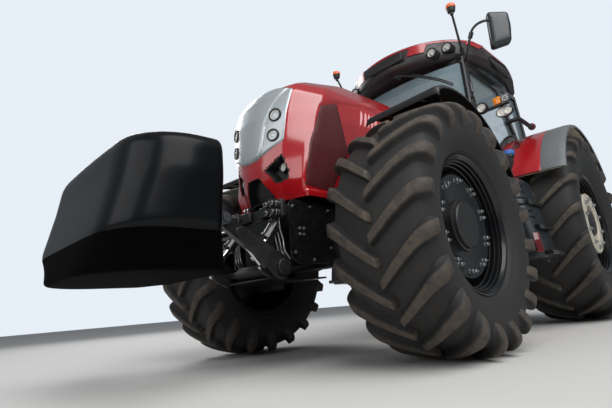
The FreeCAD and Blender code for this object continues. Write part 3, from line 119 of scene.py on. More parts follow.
def bump(tree, shader, source, strength, depth_mm):
    """Fine relief of depth_mm from the height that a pattern gives."""
    relief = add(tree, "ShaderNodeBump", values={"Strength": strength, "Distance": depth_mm / 1000.0},
                 links={"Height": (source, "Fac")})
    tree.links.new(relief.outputs["Normal"], shader.inputs["Normal"])


def enamel(name, colour, shade, roughness=0.3, coat=1.0, dust=0.0, metallic=0.0, shine=0.5):
    """Sprayed enamel: even colour with faint orange peel, a clear top layer and thin dust."""
    made, tree, shader = new_material(name, {
        "Roughness": roughness, "Metallic": metallic, "Coat Weight": coat, "Coat Roughness": 0.12,
        "Specular IOR Level": shine})
    colour_by(tree, shader, noise(tree, 260.0, 4.0), "Fac", [(0.35, shade), (0.65, colour)], dust)
    bump(tree, shader, noise(tree, 5.0, 1.0), 0.05, 0.2)
    return made


def moulded(name, colour, shade, roughness=0.6, dust=0.0):
    """Injection moulded ABS or polypropylene: matte, with a fine pebbled grain."""
    made, tree, shader = new_material(name, {"Roughness": roughness})
    colour_by(tree, shader, noise(tree, 160.0, 5.0), "Fac", [(0.3, shade), (0.7, colour)], dust, "#7D7565")
    bump(tree, shader, noise(tree, 2.2, 2.0), 0.25, 0.2)
    return made


def plated(name, colour, shade, roughness):
    """Plated or ground steel: metallic, with fine wear that varies its polish."""
    made, tree, shader = new_material(name, {"Metallic": 1.0})
    colour_by(tree, shader, noise(tree, 60.0, 6.0), "Fac", [(0.3, shade), (0.7, colour)])
    wear = noise(tree, 3.0, 4.0, 0.7, (1.0, 0.2, 1.0))
    rough = add(tree, "ShaderNodeMapRange", values={"To Min": roughness * 0.7, "To Max": roughness * 1.4},
                links={"Value": (wear, "Fac")})
    tree.links.new(rough.outputs["Result"], shader.inputs["Roughness"])
    return made


def casting(name, colour, shade, roughness, dust):
    """Sand-cast iron under paint: lumpy skin, a low sheen, road dust in its hollows."""
    made, tree, shader = new_material(name, {"Roughness": roughness})
    colour_by(tree, shader, noise(tree, 90.0, 6.0), "Fac", [(0.3, shade), (0.7, colour)], dust, "#6E6353", 50.0)
    bump(tree, shader, noise(tree, 9.0, 5.0), 0.3, 0.8)
    return made


def glazing(name, colour, alpha):
    """Tempered sheet or moulded lens: mostly see-through, with a hard surface sheen."""
    made, tree, shader = new_material(name, {
        "Roughness": 0.02, "Alpha": alpha, "Coat Weight": 1.0, "Coat Roughness": 0.02})
    colour_by(tree, shader, noise(tree, 400.0, 2.0), "Fac", [(0.3, colour), (0.7, colour)])
    return made


def rubber(name):
    """Vulcanised natural rubber: near black, matte, rubbed tan with soil on the lugs' tops."""
    made, tree, shader = new_material(name, {"Roughness": 0.7})
    worn = add(tree, "ShaderNodeAttribute", {"attribute_name": "wear"})
    cover = add(tree, "ShaderNodeMath", {"operation": "MULTIPLY"},
                links={0: (worn, "Fac"), 1: (noise(tree, 55.0, 8.0, 0.7), "Fac")})
    colour_by(tree, shader, cover, "Value", [(0.06, "#161718"), (0.34, "#2A2725"), (0.62, "#4E443A")])
    bump(tree, shader, noise(tree, 7.0, 6.0), 0.3, 1.2)
    return made


def cloth(name, colour, shade):
    """Woven seat cloth: its diagonal weave is drawn some 3 mm apart, coarser than real, so that it shows."""
    made, tree, shader = new_material(name, {"Roughness": 0.9, "Sheen Weight": 0.3})
    place = add(tree, "ShaderNodeTexCoord")
    weave = add(tree, "ShaderNodeTexWave", {"bands_direction": "DIAGONAL"}, {"Scale": 90.0, "Distortion": 1.5},
                {"Vector": (place, "Object")})
    colour_by(tree, shader, weave, "Fac", [(0.2, shade), (0.8, colour)])
    bump(tree, shader, weave, 0.4, 0.6)
    return made


def lit_lens(name, colour, alpha):
    """Coloured lamp lens: moulded acrylic with fine upright flutes."""
    made, tree, shader = new_material(name, {"Roughness": 0.12, "Alpha": alpha, "Coat Weight": 0.6})
    place = add(tree, "ShaderNodeTexCoord")
    flutes = add(tree, "ShaderNodeTexWave", values={"Scale": 60.0}, links={"Vector": (place, "Object")})
    colour_by(tree, shader, noise(tree, 90.0), "Fac", [(0.3, colour), (0.7, colour)])
    bump(tree, shader, flutes, 0.3, 0.6)
    return made


# Surface building

def grid_quads(rows, columns, wrap_rows=False, wrap_columns=False, first=0):
    """Quads of a grid of points numbered row by row, joined round where it wraps."""
    i = np.arange(rows if wrap_rows else rows - 1)
    j = np.arange(columns if wrap_columns else columns - 1)
    i, j = np.meshgrid(i, j, indexing="ij")
    i1 = (i + 1) % rows
    j1 = (j + 1) % columns
    corners = (i * columns + j, i1 * columns + j, i1 * columns + j1, i * columns + j1)
    return np.stack(corners, -1).reshape(-1, 4) + first


def turned_outward(shape):
    """A closed surface with its faces outward: they are flipped where its volume comes out negative."""
    points, faces = shape
    p = np.asarray(points, float).reshape(-1, 3)
    p = p - p.mean(axis=0)
    volume = 0.0
    for f in faces:
        for k in range(1, f.shape[1] - 1):
            volume += np.einsum("ij,ij->", p[f[:, 0]], np.cross(p[f[:, k]], p[f[:, k + 1]]))
    return points, (list(faces) if volume > 0.0 else [f[:, ::-1] for f in faces])


def merge(*parts):
    """Joins closed surfaces, each turned outward; faces are arrays of three or four corners."""
    points, faces, count = [], [], 0
    for part in parts:
        part_points, part_faces = turned_outward(part)
        points.append(np.asarray(part_points, float).reshape(-1, 3))
        faces.extend(np.asarray(f, int) + count for f in part_faces)
        count += len(points[-1])
    return np.concatenate(points), faces


def mesh_piece(name, shape, finish, body="chassis", replaces=(), smooth=38.0, wear=None, bevel=0.0):
    """Object from (points, faces) at the origin, shaded smooth up to an angle, riding on a body."""
    slot, material = FINISHES[finish]
    points, faces = turned_outward(shape)
    points = np.ascontiguousarray(points, dtype=np.float32).reshape(-1, 3)
    loops = np.concatenate([f.reshape(-1) for f in faces]).astype(np.int32)
    totals = np.concatenate([np.full(len(f), f.shape[1]) for f in faces]).astype(np.int32)
    starts = np.concatenate([[0], np.cumsum(totals)[:-1]]).astype(np.int32)
    mesh = bpy.data.meshes.new(name)
    mesh.vertices.add(len(points))
    mesh.vertices.foreach_set("co", points.ravel())
    mesh.loops.add(len(loops))
    mesh.loops.foreach_set("vertex_index", loops)
    mesh.polygons.add(len(totals))
    mesh.polygons.foreach_set("loop_start", starts)
    mesh.polygons.foreach_set("loop_total", totals)
    mesh.update(calc_edges=True)
    mesh.validate()
    mesh.polygons.foreach_set("use_smooth", np.ones(len(mesh.polygons), dtype=bool))
    mesh.set_sharp_from_angle(angle=math.radians(smooth))
    if wear is not None:
        layer = mesh.attributes.new("wear", "FLOAT", "POINT")
        layer.data.foreach_set("value", np.asarray(wear, dtype=np.float32))
    made = bpy.data.objects.new(name, mesh)
    bpy.context.scene.collection.objects.link(made)
    mesh.materials.append(material)
    if bevel > 0.0:
        edge = made.modifiers.new("edges", "BEVEL")
        edge.width = bevel
        edge.segments = 2
        edge.limit_method = "ANGLE"
        edge.angle_limit = math.radians(40.0)
    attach(made, body)
    if replaces:
        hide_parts(*replaces)


def pair(name, shape, finish, body="chassis", replaces=(), smooth=38.0, wear=None):
    """The left piece and its mirror image; {side} in a name stands for left or right, {s} for l or r."""
    for side, one in (("left", shape), ("right", mirrored(shape))):
        words = {"side": side, "s": side[0]}
        mesh_piece(name.format(**words), one, finish, body.format(**words),
                   [node.format(**words) for node in replaces], smooth, wear)


def corners_of(node):
    """Lowest and highest corner of a node's box."""
    return [np.array(corner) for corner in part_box(node)]


def fan(ring, pole, flip=False):
    """Triangles from each edge of a closed ring of point numbers to a pole."""
    ahead = np.roll(ring, -1)
    return np.stack([ring, ahead, np.full(len(ring), pole)] if flip
                    else [ahead, ring, np.full(len(ring), pole)], -1)


def lathe(profile, centre, steps=96, axis="y"):
    """Profile of (along, radius) turned about an axle; an end of radius 0 becomes a pole."""
    profile = np.asarray(profile, float)
    first, last = profile[0, 1] == 0.0, profile[-1, 1] == 0.0
    rings = profile[(1 if first else 0):(len(profile) - 1 if last else len(profile))]
    angle = np.linspace(0.0, 2.0 * np.pi, steps, endpoint=False)
    x = np.outer(rings[:, 1], np.sin(angle))
    z = np.outer(rings[:, 1], np.cos(angle))
    y = np.broadcast_to(rings[:, 0][:, None], x.shape)
    points = np.stack([x, y, z], -1).reshape(-1, 3)
    faces = [grid_quads(len(rings), steps, not (first or last), True)]
    ring = np.arange(steps)
    if first:
        points = np.concatenate([points, [[0.0, profile[0, 0], 0.0]]])
        faces.append(fan(ring, len(points) - 1, True))
    if last:
        points = np.concatenate([points, [[0.0, profile[-1, 0], 0.0]]])
        faces.append(fan(ring + (len(rings) - 1) * steps, len(points) - 1))
    order = {"y": [0, 1, 2], "x": [1, 2, 0], "z": [2, 0, 1]}[axis]
    return points[:, order] + np.asarray(centre, float), faces


def mirrored(shape):
    """The shape on the other side of the machine, its faces turned to stay outward."""
    points, faces = shape
    flipped = np.asarray(points, float).reshape(-1, 3) * np.array([1.0, -1.0, 1.0])
    return flipped, [f[:, ::-1] for f in faces]


def smooth_line(points, count):
    """Even points along a Catmull-Rom curve through the given ones."""
    p = np.asarray(points, float)
    ends = np.concatenate([[2 * p[0] - p[1]], p, [2 * p[-1] - p[-2]]])
    t = np.linspace(0.0, len(p) - 1.0, count)
    k = np.minimum(t.astype(int), len(p) - 2)
    u = (t - k)[:, None]
    a, b, c, d = ends[k], ends[k + 1], ends[k + 2], ends[k + 3]
    return 0.5 * (2 * b + (c - a) * u + (2 * a - 5 * b + 4 * c - d) * u ** 2 + (3 * b - a - 3 * c + d) * u ** 3)


def tube(path, radius, sides=12):
    """Round bar along a path: a circle carried on it, kept square to its direction."""
    p = np.asarray(path, float)
    t = np.gradient(p, axis=0)
    t /= np.linalg.norm(t, axis=1)[:, None]
    up = np.array([1.0, 0.0, 0.0]) if np.abs(t[:, 2]).mean() > 0.8 else np.array([0.0, 0.0, 1.0])
    side = np.cross(t, up)
    side /= np.maximum(np.linalg.norm(side, axis=1)[:, None], 1e-9)
    top = np.cross(side, t)
    angle = np.linspace(0.0, 2.0 * np.pi, sides, endpoint=False)
    r = np.broadcast_to(np.asarray(radius, float), (len(p),))[:, None, None]
    ring = (p[:, None, :] + r * (np.cos(angle)[None, :, None] * side[:, None, :]
                                 + np.sin(angle)[None, :, None] * top[:, None, :]))
    n = len(p) * sides
    points = np.concatenate([ring.reshape(-1, 3), p[:1], p[-1:]])
    circle = np.arange(sides)
    return points, [grid_quads(len(p), sides, False, True), fan(circle, n, True),
                    fan(circle + n - sides, n + 1)]


def rounded_box(low, high, radius, segments=3):
    """Box between two corners with rounded edges: a sphere's grid pushed out to the corners."""
    low, high = np.asarray(low, float), np.asarray(high, float)
    centre, half = (low + high) / 2.0, (high - low) / 2.0
    r = min(radius, *(half * 0.98))
    n = 2 * segments + 2
    theta = np.concatenate([np.linspace(-90.0, 0.0, segments + 1), np.linspace(0.0, 90.0, segments + 1)])
    lift = np.concatenate([-np.ones(segments + 1), np.ones(segments + 1)])
    phi = np.concatenate([np.linspace(q, q + 90.0, segments + 1) for q in (0.0, 90.0, 180.0, 270.0)])
    quadrant = np.repeat(np.array([[1, 1], [-1, 1], [-1, -1], [1, -1]]), segments + 1, axis=0)
    th, ph = np.radians(theta)[:, None], np.radians(phi)[None, :]
    ball = np.stack([np.cos(th) * np.cos(ph), np.cos(th) * np.sin(ph), np.sin(th) * np.ones_like(ph)], -1)
    corner = np.stack([np.broadcast_to(quadrant[:, 0], (n, len(phi))),
                       np.broadcast_to(quadrant[:, 1], (n, len(phi))),
                       np.broadcast_to(lift[:, None], (n, len(phi)))], -1)
    points = (centre + corner * (half - r) + ball * r).reshape(-1, 3)
    columns = len(phi)
    total = len(points)
    points = np.concatenate([points, [centre - [0, 0, half[2]], centre + [0, 0, half[2]]]])
    ring = np.arange(columns)
    return points, [grid_quads(n, columns, False, True), fan(ring, total, True),
                    fan(ring + total - columns, total + 1)]


def turned_box(low, high, radius, place, turn=0.0, tilt=0.0, lean=0.0, segments=2):
    """Rounded box about its own origin, rolled about X, pitched about Y, yawed about Z, then placed."""
    points, faces = rounded_box(low, high, radius, segments)
    return points @ rotation(lean, tilt, turn).T + np.asarray(place, float), faces


def rotation(roll, pitch, yaw):
    """Matrix of a roll about X, then a pitch about Y, then a yaw about Z, in degrees."""
    a, b, c = (math.radians(v) for v in (roll, pitch, yaw))
    rx = np.array([[1, 0, 0], [0, math.cos(a), -math.sin(a)], [0, math.sin(a), math.cos(a)]])
    ry = np.array([[math.cos(b), 0, math.sin(b)], [0, 1, 0], [-math.sin(b), 0, math.cos(b)]])
    rz = np.array([[math.cos(c), -math.sin(c), 0], [math.sin(c), math.cos(c), 0], [0, 0, 1]])
    return rz @ ry @ rx


def solid_sheet(points, thickness, wrap=False, keep=None, same=None):
    """Closed sheet from a grid of points: its back is the grid set in along the normals.

    keep leaves out cells of the grid, same joins points of it; every edge met by one cell only
    gets a wall to the back.
    """
    p = np.asarray(points, float)
    rows, columns = p.shape[:2]
    if wrap:
        dv = np.roll(p, -1, axis=1) - np.roll(p, 1, axis=1)
    else:
        dv = np.gradient(p, axis=1)
    normal = np.cross(np.gradient(p, axis=0), dv)
    normal /= np.maximum(np.linalg.norm(normal, axis=-1, keepdims=True), 1e-9)
    back = p - normal * thickness
    n = rows * columns
    front = grid_quads(rows, columns, False, wrap)
    if keep is not None:
        front = front[np.asarray(keep, bool).ravel()]
    if same is not None:
        front = same[front]
    edges = np.concatenate([front[:, [k, (k + 1) % 4]] for k in range(4)])
    code = edges[:, 0] * n + edges[:, 1]
    single = ~np.isin(code, edges[:, 1] * n + edges[:, 0])
    a, b = edges[single].T
    faces = [front, front[:, ::-1] + n, np.stack([b, a, a + n, b + n], -1)]
    every = np.concatenate([p.reshape(-1, 3), back.reshape(-1, 3)])
    used = np.unique(np.concatenate([f.ravel() for f in faces]))
    number = np.zeros(len(every), int)
    number[used] = np.arange(len(used))
    return every[used], [number[f] for f in faces]


def nested(loops, first=None, last=None, wrap=False):
    """Surface through closed loops of equal counts, its ends drawn to poles or joined to each other."""
    stack = np.stack([np.asarray(loop, float) for loop in loops])
    rows, columns = stack.shape[:2]
    points = stack.reshape(-1, 3)
    faces = [grid_quads(rows, columns, wrap, True)]
    ring = np.arange(columns)
    if first is not None:
        points = np.concatenate([points, [first]])
        faces.append(fan(ring, len(points) - 1, True))
    if last is not None:
        points = np.concatenate([points, [last]])
        faces.append(fan(ring + (rows - 1) * columns, len(points) - 1))
    return points, faces


def capped(loops):
    """Closed surface through a stack of loops, each end drawn to its own middle."""
    return nested(loops, loops[0].mean(axis=0), loops[-1].mean(axis=0))


def around(corners, count, radius=0.0):
    """Even points round a polygon with its corners rounded by a moving average of radius."""
    p = np.asarray(corners, float)
    closed = np.concatenate([p, p[:1]])
    run = np.concatenate([[0.0], np.cumsum(np.linalg.norm(np.diff(closed, axis=0), axis=1))])
    fine = np.linspace(0.0, run[-1], 1200, endpoint=False)
    line = np.stack([np.interp(fine, run, closed[:, k]) for k in range(p.shape[1])], -1)
    width = int(round(radius / run[-1] * 1200.0)) | 1
    if width > 1:
        kernel = np.ones(width) / width
        half = width // 2
        padded = np.concatenate([line[-half:], line, line[:half]])
        line = np.stack([np.convolve(padded[:, k], kernel, "valid") for k in range(p.shape[1])], -1)
    return line[np.linspace(0, 1200, count, endpoint=False).astype(int)]


def inside(points, corners):
    """True for the points (…, 2) that lie in a polygon, by counting crossed edges."""
    x, y = np.asarray(points)[..., 0], np.asarray(points)[..., 1]
    found = np.zeros(x.shape, bool)
    for (x0, y0), (x1, y1) in zip(corners, list(corners[1:]) + [corners[0]]):
        if y0 != y1:
            crosses = (y0 > y) != (y1 > y)
            found ^= crosses & (x < (x1 - x0) * (y - y0) / (y1 - y0) + x0)
    return found


# Axles: x along the machine and height, metres
FRONT_AXLE, FRONT_AXLE_Z = 1.2775, 0.82
REAR_AXLE, REAR_AXLE_Z = -1.6925, 1.04

# Hood skin: every point of it is told by s, the way round from the nose's middle, and its height z

# height, nose and fold ahead of the front axle, half width at the nose, at the fold, at the rear
HOOD_LEVELS = np.array([
    (1.165, 0.670, 0.540, 0.205, 0.392, 0.400), (1.300, 0.710, 0.575, 0.230, 0.405, 0.430),
    (1.420, 0.730, 0.545, 0.255, 0.425, 0.455), (1.570, 0.730, 0.495, 0.282, 0.447, 0.470),
    (1.820, 0.695, 0.410, 0.330, 0.457, 0.478), (2.000, 0.645, 0.320, 0.350, 0.442, 0.462),
    (2.090, 0.585, 0.235, 0.330, 0.415, 0.440), (2.180, 0.420, 0.130, 0.275, 0.352, 0.412),
    (2.245, 0.220, 0.000, 0.225, 0.305, 0.378), (2.290, 0.020, -0.150, 0.165, 0.285, 0.330),
    (2.320, -0.150, -0.350, 0.090, 0.130, 0.150)])
NOSE_BULGE = 0.080
HOOD_REAR = -1.370


def step(x, x0, x1):
    """Smooth rise from 0 at x0 to 1 at x1."""
    t = np.clip((np.asarray(x, float) - x0) / (x1 - x0), 0.0, 1.0)
    return t * t * (3.0 - 2.0 * t)


def hood_plan(z):
    """Left half of the plan outline at one height, nose first: arc, facet, flank."""
    nose, fold, at_nose, at_fold, rear = (np.interp(z, HOOD_LEVELS[:, 0], HOOD_LEVELS[:, k]) for k in range(1, 6))
    y = np.linspace(0.0, at_nose, 24)
    arc = np.stack([nose - NOSE_BULGE * (y / at_nose) ** 2, y], -1)
    side = np.array([(fold, at_fold), (-0.58, 0.5 * (at_fold + rear)), (HOOD_REAR, rear),
                     (HOOD_REAR - 0.7, rear)])
    return np.concatenate([arc, side])


@lru_cache
def hood_table():
    """Regular table of the skin over (z, s), rounded by a moving average both ways."""
    heights = np.linspace(1.165, 2.320, 156)
    around_s = np.linspace(0.0, 2.9, 581)
    rows = []
    for z in heights:
        line = hood_plan(z)
        run = np.concatenate([[0.0], np.cumsum(np.hypot(*np.diff(line, axis=0).T))])
        rows.append([np.interp(around_s, run, line[:, k]) for k in (0, 1)])
    table = np.array(rows).transpose(0, 2, 1)
    kernel = np.array([1.0, 2.0, 3.0, 2.0, 1.0]) / 9.0
    for axis, turns in ((1, 3), (0, 3)):
        for _ in range(turns):
            rolled = np.moveaxis(table, axis, 0)
            first, last = rolled[:1], rolled[-1:]
            start = 2.0 * first - rolled[2:0:-1]
            if axis == 1:
                start = rolled[2:0:-1] * np.array([1.0, -1.0])
            padded = np.concatenate([start, rolled, 2.0 * last - rolled[-2:-4:-1]])
            rolled = sum(k * padded[i:i + len(rolled)] for i, k in enumerate(kernel))
            table = np.moveaxis(rolled, 0, axis)
    ends = np.array([np.interp(-HOOD_REAR, -row[:, 0], around_s) for row in table])
    return heights, around_s, table, ends


def on_hood(s, z, out=0.0):
    """Points of the hood's skin at s round from the nose's middle (left positive) and height z."""
    heights, around_s, table, _ = hood_table()
    s, z = np.broadcast_arrays(np.asarray(s, float), np.asarray(z, float))
    row = np.clip((z - heights[0]) / (heights[1] - heights[0]), 0.0, len(heights) - 1.001)
    column = np.clip(np.abs(s) / (around_s[1] - around_s[0]), 0.0, len(around_s) - 1.001)
    i, j = row.astype(int), column.astype(int)
    a, b = (row - i)[..., None], (column - j)[..., None]
    flat = ((1 - a) * ((1 - b) * table[i, j] + b * table[i, j + 1])
            + a * ((1 - b) * table[i + 1, j] + b * table[i + 1, j + 1]))
    along = table[i, j + 1] - table[i, j]
    along = along / np.maximum(np.linalg.norm(along, axis=-1, keepdims=True), 1e-9)
    outward = np.stack([along[..., 1], -along[..., 0]], -1)
    flat = flat + outward * np.asarray(out, float)[..., None] if np.ndim(out) else flat + outward * out
    side = np.where(s < 0.0, -1.0, 1.0)
    return np.stack([flat[..., 0] + FRONT_AXLE, side * flat[..., 1], z], -1)


# Sizes and colours a user would change

def length(name, description, default, **limits):
    return bpy.props.FloatProperty(name=name, description=description, default=default, unit="LENGTH", **limits)


def paint(name, description, hex_colour):
    return bpy.props.FloatVectorProperty(name=name, description=description, default=linear(hex_colour),
                                         subtype="COLOR", size=3, min=0.0, max=1.0)


class TractorSizes(bpy.types.PropertyGroup):
    lug_height: length("Lug height", "How far the tread lugs stand out of the carcass", 0.05, min=0.02, max=0.08)
    front_lugs: bpy.props.IntProperty(
        name="Front lugs", description="Lugs on each half of a front tyre", default=20, min=12, max=30)
    rear_lugs: bpy.props.IntProperty(
        name="Rear lugs", description="Lugs on each half of a rear tyre", default=19, min=12, max=30)
    front_seat: length("Front bead seat", "Radius of the front rim's bead seat", 0.432)
    rear_seat: length("Rear bead seat", "Radius of the rear rim's bead seat", 0.534)
    nut_across: length("Rear wheel nut", "Width across the flats of a rear wheel's nut", 0.034)
    front_nut_across: length("Front wheel nut", "Width across the flats of a front wheel's nut", 0.021)


class TractorColours(bpy.types.PropertyGroup):
    red: paint("Body red", "Enamel of the hood, the rear fenders and the roof's top", "#AE141C")
    screen: paint("Screen red", "Dull enamel of the hood's side screens", "#520C13")
    silver: paint("Mask silver", "Silver grey enamel of the mask", "#B0B7BB")
    disc: paint("Disc cream", "Enamel of the rear wheels' discs", "#C9C2B0")
    band: paint("Band grey", "Plastic of the rear fenders' outer bands", "#6A6E70")
    glass: paint("Glass tint", "Tint of the cab's panes", "#A8C3CE")


SIDES = (("left", 1.0), ("right", -1.0))

# Finish: the record's slot that a piece takes it from, and its material
FINISHES = {}


def make_finishes(colours):
    """One material for each real finish on the machine."""
    FINISHES.update({
        "red": ("red_paint", enamel("red_enamel", colours.red, "#9C1017", 0.2, 1.0, 0.05)),
        "screen_red": ("red_paint", enamel("screen_red_enamel", colours.screen, "#460A10", 0.6, 0.0, 0.06)),
        "silver": ("silver_paint", enamel("silver_grey_enamel", colours.silver, "#A6ADB1", 0.35, 0.6, 0.15, 0.35)),
        "black": ("black_steel", enamel("black_powder_coat", "#111214", "#0C0D0F", 0.3, 0.6, 0.1)),
        "rim_black": ("black_rim", enamel("black_rim_enamel", "#07080A", "#050607", 0.3, 0.3, shine=0.3)),
        "weight_black": ("black_steel", enamel("black_weight_enamel", "#05070A", "#040507", 0.3, 0.06, shine=0.14)),
        # Darker, fully matte copy of the weight's black enamel for its underside: painted shade where the lower part
        # falls in shadow
        "painted_shade_black": ("black_steel", enamel("painted_shade_enamel", "#040303", "#020202", 0.95, 0.0, shine=0.05)),
        "cream": ("cream_paint", enamel("cream_disc_enamel", colours.disc, "#BDB59F", 0.4, 0.4, 0.3)),
        "iron": ("cast_iron", casting("black_cast_iron", "#15171A", "#0E1012", 0.5, 0.15)),
        "trim": ("dark_plastic", moulded("black_polypropylene", "#151617", "#101112", 0.45, 0.08)),
        "roof": ("dark_plastic", moulded("dark_roof_plastic", "#2B2426", "#211C1E", 0.38, 0.1)),
        "band": ("grey_plastic", moulded("grey_fender_plastic", colours.band, "#5F6365", 0.5, 0.2)),
        "blue": ("blue_plastic", moulded("blue_cap_plastic", "#1F62B4", "#1A549C", 0.4)),
        "steel": ("bright_steel", plated("zinc_plated_steel", "#B9BBBC", "#9B9D9E", 0.28)),
        "reflector": ("bright_steel", enamel("white_lamp_reflector", "#F3F0E4", "#E5E1D2", 0.22, 0.6)),
        "nut": ("bright_steel", plated("bright_wheel_nut", "#C2C4C6", "#ACAFB1", 0.42)),
        "chrome": ("chrome_rod", plated("hard_chrome_rod", "#D8DADB", "#C9CBCC", 0.1)),
        "glass": ("tinted_glass", glazing("tinted_tempered_glass", colours.glass, 0.26)),
        "lens": ("clear_lens", glazing("clear_lamp_lens", "#E6ECEE", 0.18)),
        "mirror": ("chrome_rod", plated("silvered_mirror", "#C9D0D4", "#C2CACE", 0.03)),
        "orange": ("orange_lens", lit_lens("orange_beacon_lens", "#FF6A08", 0.9)),
        "amber": ("orange_lens", lit_lens("amber_turn_lens", "#F08A1E", 0.9)),
        "dark_red": ("orange_lens", lit_lens("dark_red_lens", "#5E0E10", 0.95)),
        "rubber": ("tyre", rubber("tyre_rubber")),
        "post": ("black_steel", enamel("post_enamel", "#10141C", "#0C1016", 0.45, 0.2, 0.1)),
        "tank": ("dark_plastic", moulded("satin_tank_polyethylene", "#262D33", "#1E2429", 0.3, 0.1)),
        "hook_iron": ("black_steel", casting("grey_hook_casting", "#34393E", "#282C30", 0.5, 0.1)),
        "lining": ("cream_paint", moulded("pale_moulded_lining", "#D6CDB4", "#C6BCA0", 0.85, 0.1)),
        "seal": ("dark_plastic", moulded("black_rubber_seal", "#121313", "#0D0E0E", 0.75)),
        "cloth": ("seat_cloth", cloth("woven_seat_cloth", "#33363A", "#24262A")),
    })


# Finish of each carried-over node
NODE_FINISHES = {
    "rim_black": "front_rim_{side} rear_rim_{side}",
    "rubber": "front_tyre_{side} rear_tyre_{side}",
    "cream": "rear_disc_{side}",
    "iron": "knuckle_{side} front_axle engine_block front_frame transmission",
    "steel": "steering_rods rear_lift_rods rear_top_link",
    "chrome": "front_lift_rods",
    "black": "drawbar hood_bracket front_arms front_top_link front_lift_cylinders rear_lower_links"
             " rear_rocker_arms cab_floor cab_frame door_frame_{side} cab_steps exhaust",
    "trim": "front_fender_{side} mirrors fuel_tank battery_box steering_column side_console roof_plate"
            " pillar_lamps",
    "red": "hood_shell rear_fenders",
    "screen_red": "side_screens",
    "silver": "hood_mask",
    "weight_black": "front_weight",
    "lens": "headlamps roof_lamps",
    "glass": "cab_glass door_glass_{side}",
    "roof": "cab_roof",
    "orange": "beacons",
    "band": "fender_bands",
    "blue": "tank_cap",
    "cloth": "seat"}


# Wheels: half the rim's width at each axle
RIM_HALF = {"front": 0.256, "rear": 0.300}
LUG_LEAD = 0.024


def wheel_centre(axle):
    """Middle of an axle's left tyre: the centre of its node's box."""
    low, high = corners_of(axle + "_tyre_left")
    return (low + high) / 2.0


def tyre_shape(radius, width, seat, rim_half, lugs, lug_height):
    """Carcass turned from a profile, and lugs carried from the middle over the shoulder.

    A lug is a grid: along it the path runs out from the middle, swept back, and over the
    shoulder; across it nine points rise from the carcass, cross the top and go down.
    """
    tread = radius - lug_height
    half = width / 2.0
    line = [(rim_half - 0.034, seat + 0.001), (rim_half - 0.011, seat + 0.024), (half * 0.88, seat + 0.062),
            (half * 0.985, seat + 0.5 * (tread - seat) - 0.03), (half * 0.99, tread - 0.115),
            (half * 0.93, tread - 0.055), (half * 0.8, tread - 0.022), (half * 0.45, tread - 0.005),
            (0.0, tread)]
    side = smooth_line(line, 60)
    ribs = np.zeros(len(side))
    for at_r, high, wide in ((seat + 0.045, 0.004, 0.006), (seat + 0.095, 0.003, 0.004),
                             (tread - 0.17, 0.003, 0.004)):
        ribs += high * np.exp(-((side[:, 1] - at_r) / wide) ** 2) * (side[:, 0] > half * 0.5)
    side[:, 0] += ribs
    profile = np.concatenate([side, (side * [-1.0, 1.0])[-2::-1]])
    carcass, carcass_faces = lathe(profile[::-1], (0.0, 0.0, 0.0), 120)
    reach = np.hypot(carcass[:, 0], carcass[:, 2])
    wear = [np.clip(0.22 + 0.25 * (reach > tread - 0.03), 0.0, 1.0)]

    # along the lug: distance out as a share of the half width, foot radius, height, half width, sweep
    rows = np.array([(-0.02, tread, 0.5, 0.024, -0.5), (-0.005, tread, 0.98, 0.029, -0.2),
                     (0.2, tread - 0.001, 1.0, 0.032, 3.4), (0.48, tread - 0.005, 1.0, 0.037, 8.6),
                     (0.72, tread - 0.015, 1.02, 0.042, 13.2), (0.88, tread - 0.034, 1.12, 0.046, 16.2),
                     (0.955, tread - 0.064, 1.0, 0.049, 17.4), (0.985, tread - 0.105, 0.62, 0.050, 18.2),
                     (0.978, tread - 0.150, 0.16, 0.048, 18.8)])
    line = smooth_line(rows, 26)
    out, foot, rise, wide, sweep = line.T
    path = np.stack([out * half, foot], -1)
    along = np.gradient(path, axis=0)
    along /= np.linalg.norm(along, axis=1)[:, None]
    normal = np.stack([-along[:, 1], along[:, 0]], -1)
    across = np.array([(-1.5, -0.12), (-1.22, 0.12), (-1.04, 0.5), (-0.95, 0.84), (-0.8, 0.97), (0.0, 1.0),
                       (0.8, 0.97), (0.95, 0.84), (1.04, 0.5), (1.22, 0.12), (1.5, -0.12)])
    lift = rise[:, None] * across[None, :, 1] * lug_height
    y = path[:, None, 0] + normal[:, None, 0] * lift
    r = path[:, None, 1] + normal[:, None, 1] * lift
    offset = wide[:, None] * across[None, :, 0]
    top = np.clip((across[:, 1] - 0.55) / 0.4, 0.0, 1.0) * 0.75 + 0.3
    worn = np.broadcast_to(top, y.shape) * np.clip(1.35 - 0.5 * out[:, None], 0.0, 1.0)
    pitch = 2.0 * np.pi / lugs
    parts = [(carcass, carcass_faces)]
    rows_n, cols_n = y.shape
    for sign, start in ((1.0, 0.5), (-1.0, 0.0)):
        middle = (np.arange(lugs) + start) * pitch - LUG_LEAD / radius
        angle = middle[:, None, None] - np.radians(sweep)[None, :, None] + offset[None] / radius
        x = r[None] * np.sin(angle)
        z = r[None] * np.cos(angle)
        yy = np.broadcast_to(sign * y[None], x.shape)
        block = np.stack([x, yy, z], -1)
        for lug in block:
            nose = lug[0].mean(axis=0, keepdims=True)
            tail = lug[-1].mean(axis=0, keepdims=True)
            points = np.concatenate([lug.reshape(-1, 3), nose, tail])
            n = rows_n * cols_n
            ring = np.arange(cols_n)
            parts.append((points, [grid_quads(rows_n, cols_n, False, True), fan(ring, n, True),
                                   fan(ring + n - cols_n, n + 1)]))
            wear.append(np.concatenate([worn.ravel(), worn[0].max(keepdims=True), worn[-1].max(keepdims=True)]))
    points, faces = merge(*parts)
    return (points, faces), np.concatenate(wear)


